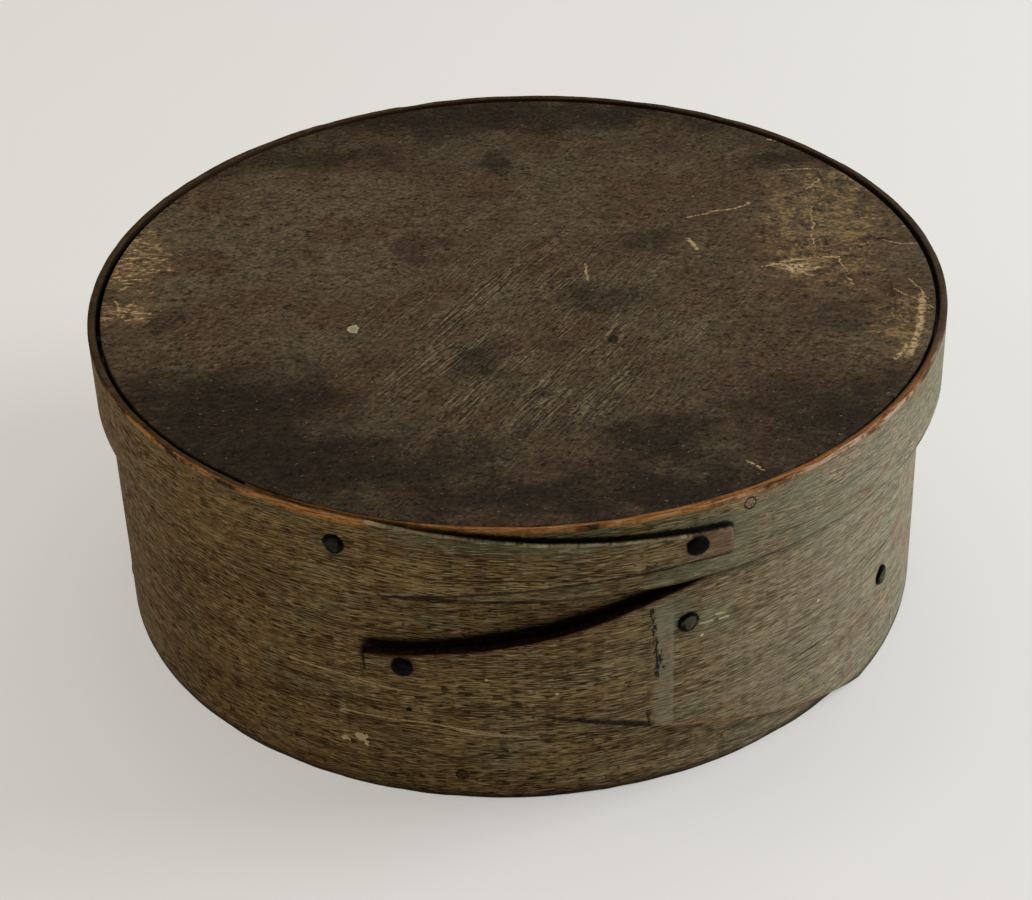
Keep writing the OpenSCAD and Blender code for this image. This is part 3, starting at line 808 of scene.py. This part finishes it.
# %% Paint of the lid board
def lid_board_paint():
    material, start = new_material("lid_board_paint")
    x, y, depth = lid_places(start)
    along, across = turned_axes(x, y, RIDGE_LEAN)
    bent = across + (start.noise(along / 60, across / 25, 50.0) - 0.5) * 4
    ridge = start.noise(along / 16, bent / 0.65, 51.0, 2.0, 0.6)
    fine = start.noise(along / 3.5, bent / 0.6, 52.0, 3.0, 0.65)
    cloud = start.noise(x / 24, y / 19, 53.0, 6.0, 0.68)
    drift = start.noise(x / 13, y / 11, 62.0, 5.0, 0.7)
    mottle = start.noise(x / 5.5, y / 4.5, 58.0, 6.0, 0.75)
    grit = start.noise(x / 1.2, y / 1.0, 54.0, 3.0, 0.7)
    lumps = start.noise(x / 3.2, y / 1.7, 63.0, 5.0, 0.72)
    from_middle = distance(x, y)
    wide = pushed(start, x, y, 16, 40, 45.0)
    close = pushed(start, x, y, 6, 18, 43.0)

    # Paint, red-brown patches and raised grain
    base = cloud.rise(0.38, 0.6).mix(colour("493828"), colour("524735"))
    reddish = blots(*wide, RED_SPOTS) * 0.5 + (mottle - 0.5) * 1.6 + (cloud - 0.5) * 0.8
    base = (reddish.rise(0.0, 0.8) * 0.5).mix(base, colour("463126"))
    ridged = blot(*wide, *RIDGED) * 0.75 + 0.25
    grain = lumps + ridged * (fine - lumps)
    clumps = start.noise(along / 34, bent / 7, 55.0, 3.0).rise(0.4, 0.6)
    raised = ridge.rise(0.48, 0.58) * (fine * 0.7 + grit * 0.5).rise(0.42, 0.66) * clumps * ridged
    base = (raised * 0.6).mix(base, colour("7d7259"))
    furrow = ridge.fall(0.38, 0.48) * clumps * ridged
    base = (furrow * 0.6).mix(base, colour("1c130b"))

    # Soil, then the speckle of all of it
    soil = blots(*wide, SOIL_SPOTS) * 0.55 + blots(*close, SMALL_SPOTS) * 0.6 + (cloud - 0.5) * 1.0
    soil = soil + (drift - 0.5) * 1.8 + (mottle - 0.5) * 2.2 + (grain - 0.5) * 0.6
    soil = soil + (y * -1).rise(25, 90) * 0.45 + y.rise(35, 95) * 0.4 + from_middle.rise(85, 103) * 0.15
    soil = soil + blot(*wide, *DARK_SPOT) * 0.4 - blot(*wide, *LIGHT_SPOT) * 0.6
    base = (soil.rise(-0.25, 1.3) * 0.9).mix(base, colour("1b1209"))
    base = (grain * 4.4 + grit * 3.2 + mottle * 2.2 - 3.9).at_least(0.15).tone(base)
    specks = start.noise(x / 1.6, y / 1.4, 48.0, 1.0)
    base = (specks.rise(0.66, 0.72) * 0.7).mix(base, colour("120b06"))
    flecks = start.noise(x / 1.3, y / 1.1, 49.0, 1.0)
    base = (flecks.rise(0.7, 0.76) * 0.4).mix(base, colour("8f8064"))

    # Scuffs at the left and right edges
    left = blots(*close, LEFT_SCUFFS)
    right = blots(*close, RIGHT_SCUFFS)
    lighter = left * 0.8 * (mottle + lumps).rise(0.75, 1.25) + right * 0.6 * mottle.rise(0.4, 0.65)
    base = lighter.mix(base, colour("765f40"))
    dabs = start.noise(x / 2.6, y / 0.8, 57.0, 2.0, 0.6)
    rubs = (left * 0.1 + dabs * 0.5 + grit * 0.35 + lumps * 0.5).rise(0.77, 0.9) * left.rise(0.02, 0.5)
    base = (rubs * 0.9).mix(base, colour("b99d72"))
    chipped = (right * 0.12 + grit * 0.35 + flecks * 0.3 + mottle * 0.5).rise(0.68, 0.78)
    base = (chipped * right.rise(0.02, 0.4) * 0.36).mix(base, colour("a68d60"))

    # Scratches, each a bent run of strokes that the grit breaks up
    ragged = (start.noise(x / 1.8, y / 1.6, 56.0, 4.0, 0.65) - 0.5) * 2
    slow_x, slow_y = pushed(start, x, y, 8, 5, 59.0)
    sway = (slow_x + ragged * 0.5, slow_y + ragged * 0.4)
    press = (start.noise(x / 4, y / 4, 61.0, 3.0) * 2.2 - 0.2).at_least(0.25)
    runs = [strokes(*sway, [points], width, press) for width, *points in LID_SCRATCHES]
    edge_rub = (from_middle + ragged).window(*RUB_REACH) * x.over(0) * y.window(*RUB_SIDE)
    broken = any_of(runs + [edge_rub]) * (grit * 0.5 + flecks * 0.5).rise(0.36, 0.56)
    base = (broken * 0.75).mix(base, colour("bda377"))

    # One bright scuff, a pale chip and a dark pit
    bright = blot(close[0] + ragged * 3, y + ragged * 3, *BRIGHT_SCUFF) * (grit + flecks).rise(0.8, 1.1)
    base = (bright * 0.8).mix(base, colour("c8ae82"))
    flake = blot(x + ragged * 1.4, y + ragged * 1.0, *PALE_CHIP)
    chip = flake.rise(0.15, 0.35) * (1 - flake.rise(0.6, 0.9) * 0.4)
    base = (chip * 0.85).mix(base, colour("b0ad8e"))
    pit = blot(x + ragged * 0.5, y, *DARK_PIT).rise(0.1, 0.5)
    base = (pit * 0.8).mix(base, colour("120b07"))

    # The underside was never painted
    wood, wood_rough, _ = bare_wood(start, along, across, 60.0)
    under = depth.fall(*PAINT_DEPTH)
    base = under.mix(base, wood)
    rough = 0.5 + cloud * 0.25 + grit * 0.15
    rough = rough + under * (wood_rough - rough)
    proud = blot(x, y, *RIDGED) * 0.2 + 0.05
    relief = ridge * proud + lumps * 0.25 + fine * 0.08 + grit * 0.12 - pit * 0.4
    end_material(start, base, rough, relief, Specular_IOR_Level=LID_SHINE)
    return material


lid_paint = lid_board_paint()
print("nodes in the lid board's paint:", len(lid_paint.node_tree.nodes))

# %% [markdown]
# ## Finishes of the small pieces and the bottom board
# The bottom board is bare wood, grey-brown with age. The tacks are hand-made iron, black and uneven, with a
# little rust, and some still have paint on their heads. A peg shows only its end, level with the wall and
# painted over with it.

# %% Bottom board, iron and pegs
BOTTOM_GRAIN = 15 * DEGREE
IRON_SHINE = 0.04


def bottom_wood():
    material, start = new_material("bottom_board_wood")
    x, y, _ = object_mm(start)
    end_material(start, *bare_wood(start, *turned_axes(x, y, BOTTOM_GRAIN), 70.0))
    return material


def tack_iron():
    material, start = new_material("tack_iron")
    x, y, z = object_mm(start)
    from_axis, _, _ = read(start, "head")
    painted = start.add("ShaderNodeAttribute", {"attribute_name": "paint"}, out="Fac")
    lumps = start.noise(x / 1.6, y / 1.6, z / 1.6, 3.0)
    rust = start.noise(x / 0.9, y / 0.9, z / 0.9, 4.0).rise(0.52, 0.7)
    coat = painted * (from_axis + (lumps - 0.5) * 0.9).fall(0.55, 0.8)
    base = (rust * 0.5).mix(colour("040404"), colour("120c08"))
    base = (coat * (0.5 + rust * 0.5)).mix(base, colour("6b6450"))
    rough = 0.4 + rust * 0.3 + coat * 0.15
    end_material(start, base, rough, lumps * 0.3 + rust * 0.06, Specular_IOR_Level=IRON_SHINE)
    return material


def peg_wood():
    material, start = new_material("peg_wood")
    rim, _, _ = read(start, "peg")
    x, y, z = object_mm(start)
    grain = start.noise(x / 0.5, y / 0.5, z / 0.5, 3.0)
    base = x.rise(*FADED_AND_LIT_SIDE).mix(OLIVE, GREY_GREEN)
    base = (grain.rise(0.35, 0.65) * 0.8).mix(base, RUBBED)
    base = (grain.rise(0.5, 0.7) * 0.6).mix(base, PORE)
    base = (rim.rise(0.8, 1.0) * 0.4).mix(base, GRIME_AND_SHADE)
    # Painted shade: the peg's side and the very edge of its end are made nearly black, as in the gap
    base = (rim.rise(0.985, 1.0) * 0.9).mix(base, GRIME_AND_SHADE)
    low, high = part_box(bottom_peg_nodes[0])
    first = (low + high) / 2 / MM
    dirty = distance(x - first.x, z - first.z).fall(2.5, 4.0)
    base = (dirty * 0.75).mix(base, GRIME_AND_SHADE)
    end_material(start, base, 0.6 + grain * 0.2, grain * 0.1, Specular_IOR_Level=BAND_SHINE)
    return material


board_wood = bottom_wood()
iron = tack_iron()
peg_finish = peg_wood()
print("finishes:", [m.name for m in (box_paint, lid_band_paint, lid_paint, board_wood, iron, peg_finish)])

# %% [markdown]
# ## Making the two bands
# The cross-section is drawn once for each band: two long faces, and four corners that hands have rounded.
# The tree sweeps and bends it. The result is copied out as a plain mesh, its faces are turned outwards, and
# it stands for the band of the frame. A plain mesh is what the export can bake.

# %% Cross-section and bending
CORNER_STEPS = 3
SHARP_ANGLE = 45 * DEGREE


def section_mesh(name, thickness, height, rows):
    """The outline of a strip's end as a closed loop of edges, with rounded corners."""
    half_t = thickness / 2 - EDGE_ROUND
    half_h = height / 2 - EDGE_ROUND
    points = []
    for corner, (sx, sy) in enumerate(((1, 1), (-1, 1), (-1, -1), (1, -1))):
        for i in range(CORNER_STEPS + 1):
            turn = math.pi / 2 * (corner + i / CORNER_STEPS)
            x = sx * half_t + EDGE_ROUND * math.cos(turn)
            points.append((x, sy * half_h + EDGE_ROUND * math.sin(turn), 0))
        if corner in (1, 3):
            points += [(points[-1][0], sy * half_h * (1 - 2 * i / rows), 0) for i in range(1, rows)]
    edges = [(i, (i + 1) % len(points)) for i in range(len(points))]
    mesh = bpy.data.meshes.new(name)
    mesh.from_pydata(points, edges, [])
    return mesh


def outward(mesh):
    """Turns all faces of a closed mesh outwards and keeps its hard edges hard."""
    work = bmesh.new()
    work.from_mesh(mesh)
    bmesh.ops.recalc_face_normals(work, faces=work.faces)
    work.to_mesh(mesh)
    work.free()
    mesh.shade_smooth()
    mesh.set_sharp_from_angle(angle=SHARP_ANGLE)


def put(name, data):
    """A new object in the scene."""
    thing = bpy.data.objects.new(name, data)
    bpy.context.scene.collection.objects.link(thing)
    return thing


def show(name, mesh, body, nodes):
    """Puts a finished mesh in the scene as a piece that rides on a body and stands for nodes."""
    piece = put(name, mesh)
    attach(piece, body)
    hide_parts(*nodes)
    print(name, "has", len(mesh.polygons), "faces and stands for", len(nodes), "node(s)")


def grow(name, mesh, tree, strip, finish):
    """Runs a tree on a mesh, with a strip's sizes and a finish, and returns what it makes as a plain mesh."""
    source = put(name + "_source", mesh)
    modifier = source.modifiers.new(name, "NODES")
    modifier.node_group = tree
    values = strip | {"Finish": finish}
    for item in tree.interface.items_tree:
        if item.in_out == "INPUT" and item.name in values:
            modifier[item.identifier] = values[item.name]
    graph = bpy.context.evaluated_depsgraph_get()
    made = bpy.data.meshes.new_from_object(
        source.evaluated_get(graph), preserve_all_data_layers=True, depsgraph=graph)
    source.modifiers.remove(modifier)
    bpy.data.objects.remove(source)
    made.name = name
    outward(made)
    return made


# %% Bend the box band and the lid band
BOX_ROWS = 30
LID_ROWS = 14


def bend_strip(name, strip, rows, finish, body, node):
    section = section_mesh(name + "_section", strip["Thickness"], strip["Height"], rows)
    show(name, grow(name, section, bent_strip, strip, finish), body, [node])


bend_strip("box_bent_band", box_strip, BOX_ROWS, box_paint, "box", "box_band")
bend_strip("lid_bent_band", lid_strip, LID_ROWS, lid_band_paint, "lid", "lid_band")

# %% [markdown]
# ## Making the two boards
# Each board was cut round and has since shrunk across its grain, so it is a little narrower that way and a
# dark gap shows beside it. Its face is not quite flat: the grain has lifted and hollows have worn in. The
# boards are made as rings of points, from the middle of the top over the eased edge to the middle below.

# %% Boards
BOARD_TURNS = 256
TOP_RINGS = 40
UNDER_RINGS = 12
EASE_STEPS = 4
BOARD_EASE = 0.35 * MM
BOARD_FIT = 0.15 * MM
LID_GRAIN = 100 * DEGREE
LID_SHRINK = 0.3 * MM
LID_DRIFT = 0.1 * MM
LID_DIP = 0.2 * MM
BOTTOM_SHRINK = 0.7 * MM
BOTTOM_DIP = 0.25 * MM


def board_mesh(name, low, high, grain, shrink, drift, dip, finish):
    """A round board between two heights, shrunk across its grain, with a slightly uneven top."""
    middle = (low + high) / 2
    radius = max(high.x - low.x, high.y - low.y) / 2 - BOARD_FIT

    def edge(turn):
        across = shrink * abs(math.sin(turn - grain))
        lengthwise = shrink * math.cos(turn - grain)
        return math.sqrt(radius ** 2 - lengthwise ** 2) - across

    def sunk(x, y):
        along, across = turned_axes(x, y, grain)
        broad = noise.noise(Vector((along / 0.09, across / 0.03, 3.0)))
        narrow = noise.noise(Vector((along / 0.05, across / 0.006, 7.0)))
        return dip * (0.5 + 0.4 * broad + 0.2 * narrow)

    rings = [(i / TOP_RINGS, -BOARD_EASE, high.z) for i in range(1, TOP_RINGS + 1)]
    for i in range(1, EASE_STEPS + 1):
        turn = math.pi / 2 * i / EASE_STEPS
        rings.append((1, BOARD_EASE * (math.sin(turn) - 1), high.z - BOARD_EASE * (1 - math.cos(turn))))
    rings.append((1, 0, low.z + BOARD_EASE / 2))
    rings += [(i / UNDER_RINGS, -BOARD_EASE / 2, low.z) for i in range(UNDER_RINGS, 0, -1)]
    work = bmesh.new()
    loops = []
    for share, inset, z in rings:
        loop = []
        for i in range(BOARD_TURNS):
            turn = FULL_TURN * i / BOARD_TURNS
            reach = (edge(turn) + inset) * share
            x, y = reach * math.cos(turn), reach * math.sin(turn)
            drop = sunk(x, y) if z > middle.z else 0
            loop.append(work.verts.new((middle.x + drift + x, middle.y + y, z - drop)))
        loops.append(loop)
    for near, far in zip(loops, loops[1:]):
        for i in range(BOARD_TURNS):
            j = (i + 1) % BOARD_TURNS
            work.faces.new((near[i], near[j], far[j], far[i]))
    work.faces.new(loops[0])
    work.faces.new(loops[-1])
    mesh = bpy.data.meshes.new(name)
    work.to_mesh(mesh)
    work.free()
    mesh.materials.append(finish)
    outward(mesh)
    return mesh


lid_board_mesh = board_mesh(
    "lid_top_board", board_low, board_top, LID_GRAIN, LID_SHRINK, LID_DRIFT, LID_DIP, lid_paint)
show("lid_top_board", lid_board_mesh, "lid", ["lid_board"])
bottom_mesh = board_mesh(
    "bottom_board", bottom_low, bottom_top, BOTTOM_GRAIN, BOTTOM_SHRINK, 0.0, BOTTOM_DIP, board_wood)
show("bottom_board", bottom_mesh, "box", ["box_bottom"])

# %% [markdown]
# ## Tacks and pegs
# The same small shape comes back at many places, so a tree puts one copy on each of a few points and then
# makes them differ a little. A tack is a low hammered dome on a thin shank. Inside the box its point is
# bent over and beaten flat. A peg is a round pin whose end shows on the wall.

# %% The tree that sets tacks
TACK_DOME = 0.85 * MM
TACK_FLAT = 0.6
TACK_BACK = 0.15 * MM
HAMMERED = 0.8 * MM
HAMMER_MARK = 3.2 * MM
TACK_SHANK = 0.7 * MM
TACK_LEG = 3.0 * MM
TACK_LEG_T = 0.35 * MM
LEG_ROOT = 0.9 * MM
LEG_TIP = 0.15 * MM
LEG_ASIDE = -0.4 * MM


def turned_out(start, size):
    """The rotation that points a shape's own z axis away from the axis of the box."""
    x, y, _ = start.geo("InputPosition").parts()
    angle = start.math("ARCTAN2", y - size["Centre Y"], x - size["Centre X"])
    return start.add("FunctionNodeEulerToRotation", numbered={0: start.point(0, math.pi / 2, angle)})


def named(start, name):
    """A number that each point carries under a name."""
    return start.geo("InputNamedAttribute", {"data_type": "FLOAT"}, Name=name)


def join(start, shapes):
    """One geometry from several."""
    joined = start.geo("JoinGeometry")
    for shape in shapes:
        start.tree.links.new(shape.socket, joined.socket.node.inputs[0])
    return joined


def tack_tree():
    tree, given, size = new_tree("set_tacks", ("Centre X", "Centre Y"))
    start = Wire(tree)
    out = turned_out(start, size)
    ball = start.geo("MeshUVSphere", Segments=32, Rings=16, Radius=1.0)
    x, y, z = start.geo("InputPosition").parts()
    dome = z.at_least(0) ** TACK_FLAT * TACK_DOME + z.at_most(0) * TACK_BACK
    dome_point = start.point(x * TACK_HEAD, y * TACK_HEAD, dome)
    head = start.geo("SetPosition", Geometry=ball, Position=dome_point)
    head = store(start, head, "head", start.point(distance(x, y) / TACK_HEAD, 0, 0))
    heads = start.geo("InstanceOnPoints", Points=given, Instance=head, Rotation=out)
    heads = start.geo("RealizeInstances", Geometry=heads)

    # Hammer marks: each head is pushed out of round a little, by a pattern fixed in space
    hx, hy, hz = [part / HAMMER_MARK for part in start.geo("InputPosition").parts()]
    push = [(start.noise(hx, hy, hz + shift, 1.0) - 0.5) * HAMMERED for shift in (0, 40, 80)]
    hammered = start.geo("SetPosition", Geometry=heads, Offset=start.point(*push))

    # Shanks as long as each point says, and bent legs where a point has one
    depth = named(start, "depth")
    shank = start.geo("MeshCylinder", Vertices=8, Radius=TACK_SHANK, Depth=1.0)
    shank = start.geo("Transform", Geometry=shank, Translation=(0, 0, -0.5))
    length = start.point(1, 1, depth)
    shanks = start.geo("InstanceOnPoints", Points=given, Instance=shank, Rotation=out, Scale=length)
    leg = start.geo("MeshCone", Vertices=10, Side_Segments=4, Radius_Top=LEG_TIP, Radius_Bottom=LEG_ROOT,
                    Depth=TACK_LEG)
    lay = start.add("FunctionNodeEulerToRotation", numbered={0: (0, math.pi / 2, 0)})
    leg = start.geo("Transform", Geometry=leg, Rotation=lay, Translation=(LEG_ASIDE, 0, 0))
    leg = start.geo("Transform", Geometry=leg, Scale=(1, 1, TACK_LEG_T / LEG_ROOT))
    bent = named(start, "leg").over(0.5)
    legs = start.geo("InstanceOnPoints", Points=given, Selection=bent, Instance=leg, Rotation=out)
    inward = start.point(0, 0, depth * -1)
    legs = start.geo("TranslateInstances", Instances=legs, Translation=inward, Local_Space=True)
    end_tree(start, given, join(start, [hammered, shanks, legs]))
    return tree


# %% Points for tacks and pegs
LEG_GAP = 0.1 * MM
BOX_TACK_PAINT = (0.0, 1.0, 0.7)
LID_TACK_PAINT = (0.0, 0.3)


def points_mesh(name, places, **numbers):
    """A mesh of loose points, each of which carries a number under each name."""
    mesh = bpy.data.meshes.new(name)
    mesh.from_pydata(places, [], [])
    for label, values in numbers.items():
        mesh.attributes.new(label, "FLOAT", "POINT").data.foreach_set("value", values)
    return mesh


def lap_radius(strip, angle):
    """Outer radius of the layer on top of the lap, at a direction in degrees."""
    turn = strip["Hand"] * (angle * DEGREE - strip["Tip angle"]) + SCARF_LEAN
    offset = strip["Back offset"]
    radius = strip["Back radius"] + strip["Thickness"]
    return offset * math.cos(turn) + math.sqrt(radius ** 2 - (offset * math.sin(turn)) ** 2)


def make_tacks(name, strip, tacks, paint, has_leg, body, nodes):
    """Sets the tacks of one lap. Each ends in a leg on the inner face, or else within the wood."""
    inside = strip["Radius"] - strip["Thickness"] - (LEG_GAP + TACK_LEG_T if has_leg else -LEG_GAP)
    places, depths = [], []
    for angle, z in tacks:
        seat, turn = lap_radius(strip, angle), angle * DEGREE
        x = strip["Centre X"] + seat * math.cos(turn)
        places.append((x, strip["Centre Y"] + seat * math.sin(turn), z))
        depths.append(seat - inside)
    legs = [float(has_leg)] * len(tacks)
    points = points_mesh(name + "_points", places, depth=depths, leg=legs, paint=paint)
    show(name, grow(name, points, set_tacks, strip, iron), body, nodes)


set_tacks = tack_tree()
make_tacks("box_tacks", box_strip, box_tack_spots, BOX_TACK_PAINT, True, "box", BOX_TACK_NODES)
make_tacks("lid_tacks", lid_strip, lid_tack_spots, LID_TACK_PAINT, False, "lid", LID_TACK_NODES)

# %% [markdown]
# ### Pegs
# A peg's end is cut level with the wall and then stands a hair proud as the wall shrinks. The pegs stand
# at an even pitch round each board. Their places come from the frame: the middle of each peg's own box.

# %% The tree that sets pegs
PEG_LENGTH = 13 * MM
PEG_PROUD = 0.05 * MM
PEG_CROWN = -0.12 * MM
PEG_ROUGH = 0.25 * MM
PEG_FINE = 1.2 * MM
TOP_SLACK = 0.01 * MM


def peg_tree():
    tree, given, size = new_tree("set_pegs", ("Centre X", "Centre Y"))
    start = Wire(tree)
    pin = start.geo(
        "MeshCylinder", Vertices=28, Side_Segments=3, Fill_Segments=5, Radius=PEG_R, Depth=PEG_LENGTH)
    pin = start.geo("Transform", Geometry=pin, Translation=(0, 0, -PEG_LENGTH / 2))
    x, y, z = start.geo("InputPosition").parts()
    from_axis = distance(x, y) / PEG_R
    pin = store(start, pin, "peg", start.point(from_axis, 0, 0))
    rounded = start.point(0, 0, (z + TOP_SLACK).over(0) * from_axis ** 4 * PEG_CROWN)
    pin = start.geo("SetPosition", Geometry=pin, Offset=rounded)
    pins = start.geo("InstanceOnPoints", Points=given, Instance=pin, Rotation=turned_out(start, size))
    pins = start.geo("RealizeInstances", Geometry=pins)
    px, py, pz = [part / PEG_FINE for part in start.geo("InputPosition").parts()]
    rough = (start.noise(px, py, pz, 2.0) - 0.5) * PEG_ROUGH
    uneven = start.point(rough, rough, rough * 0.5)
    end_tree(start, given, start.geo("SetPosition", Geometry=pins, Offset=uneven))
    return tree


def make_pegs(name, strip, nodes, body):
    """Sets a row of pegs where those of the frame come out of their wall."""
    axis = axis_of(strip)
    places = []
    for node in nodes:
        low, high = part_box(node)
        middle = (low + high) / 2
        far = max((vertex.co.xy - axis).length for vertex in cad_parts[node].data.vertices)
        end = axis + (middle.xy - axis).normalized() * (far + PEG_PROUD)
        places.append((end.x, end.y, middle.z))
    points = points_mesh(name + "_points", places)
    show(name, grow(name, points, set_pegs, strip, peg_finish), body, nodes)


set_pegs = peg_tree()
make_pegs("bottom_pegs", box_strip, bottom_peg_nodes, "box")
make_pegs("lid_pegs", lid_strip, lid_peg_nodes, "lid")

# %% [markdown]
# ## Floor, light and camera
# The box stands on a plain pale floor. A wide cool light comes from the right, as from a window, a weaker
# warm one from the left and a large soft one from above, and an even sky fills the shade. The camera looks
# down at the lid from the front. It is described by its place, its tilt and roll, and its lens.

# %% Floor
FLOOR_HALF = 3.0
FLOOR_CLOUD = 0.3
LIGHTENED = 0.5
PALE_PAPER = colour("eae8e4")


def floor_finish():
    """Pale paper. What looks straight at it sees it lightened, and its shadows stay."""
    material, start = new_material("floor_paper")
    x, y, _ = start.add("ShaderNodeTexCoord", out="Object").parts()
    cloud = start.noise(x / FLOOR_CLOUD, y / FLOOR_CLOUD, 0.0, 2.0)
    base = cloud.mix(colour("e2e2e0"), colour("e6e6e5"))
    paper = start.add("ShaderNodeBsdfPrincipled", Base_Color=base, Roughness=0.7 + cloud * 0.1)
    ray = start.add("ShaderNodeLightPath")
    seen = ray.out("Is Camera Ray") + ray.out("Is Glossy Ray") + ray.out("Is Transmission Ray")
    glow = start.add("ShaderNodeEmission", Color=PALE_PAPER)
    lightened = {0: seen.at_most(1) * LIGHTENED, 1: paper, 2: glow}
    start.add("ShaderNodeOutputMaterial", Surface=start.add("ShaderNodeMixShader", numbered=lightened))
    return material


corners = [(sx * FLOOR_HALF, sy * FLOOR_HALF, 0) for sx, sy in ((-1, -1), (1, -1), (1, 1), (-1, 1))]
floor_mesh = bpy.data.meshes.new("floor")
floor_mesh.from_pydata(corners, [], [(0, 1, 2, 3)])
floor_mesh.materials.append(floor_finish())
floor = put("floor", floor_mesh)
print("floor is", 2 * FLOOR_HALF, "m wide")

# %% Lights
LOOK_AT = Vector((0, 0, 0.04))
SKY_TINT = (1.0, 0.9, 0.76, 1.0)
SKY_STRENGTH = 0.16

# Name, place, width, watts and tint of each square light
LIGHTS = (("window_light", (1.15, 0.15, 0.7), 0.7, 16.2, (0.93, 0.97, 1.0)),
          ("lamp_light", (-1.1, -0.05, 0.75), 0.5, 2.6, (1.0, 0.7, 0.38)),
          ("ceiling_light", (0.0, 0.35, 1.6), 1.2, 8.0, (1.0, 0.95, 0.87)))

for name, lamp_place, width, watts, tint in LIGHTS:
    lamp = bpy.data.lights.new(name, "AREA")
    lamp.size = width
    lamp.energy = watts
    lamp.color = tint
    light = put(name, lamp)
    light.location = lamp_place
    light.rotation_euler = (LOOK_AT - Vector(lamp_place)).to_track_quat("-Z", "Y").to_euler()
    print(name, watts, "W at", lamp_place)

sky = bpy.data.worlds.new("sky")
sky.use_nodes = True
background = sky.node_tree.nodes["Background"]
background.inputs["Color"].default_value = SKY_TINT
background.inputs["Strength"].default_value = SKY_STRENGTH
bpy.context.scene.world = sky
bpy.context.scene.view_settings.view_transform = "Standard"

# %% Camera
PHOTO_W = 1032
FOCAL_PIXELS = 2400
CAMERA_AT = Vector((-0.33, -516.4, 376.9)) * MM
CAMERA_TILT = 33.99 * DEGREE
CAMERA_ROLL = -1.97 * DEGREE

lens = bpy.data.cameras.new("photo_camera")
lens.sensor_width = 36
lens.lens = lens.sensor_width * FOCAL_PIXELS / PHOTO_W
lens.clip_start = 0.01
camera = put("photo_camera", lens)
tilted = Matrix.Rotation(math.pi / 2 - CAMERA_TILT, 4, "X")
camera.matrix_world = Matrix.Translation(CAMERA_AT) @ tilted @ Matrix.Rotation(CAMERA_ROLL, 4, "Z")
bpy.context.scene.camera = camera
print("lens", round(lens.lens, 2), "mm")
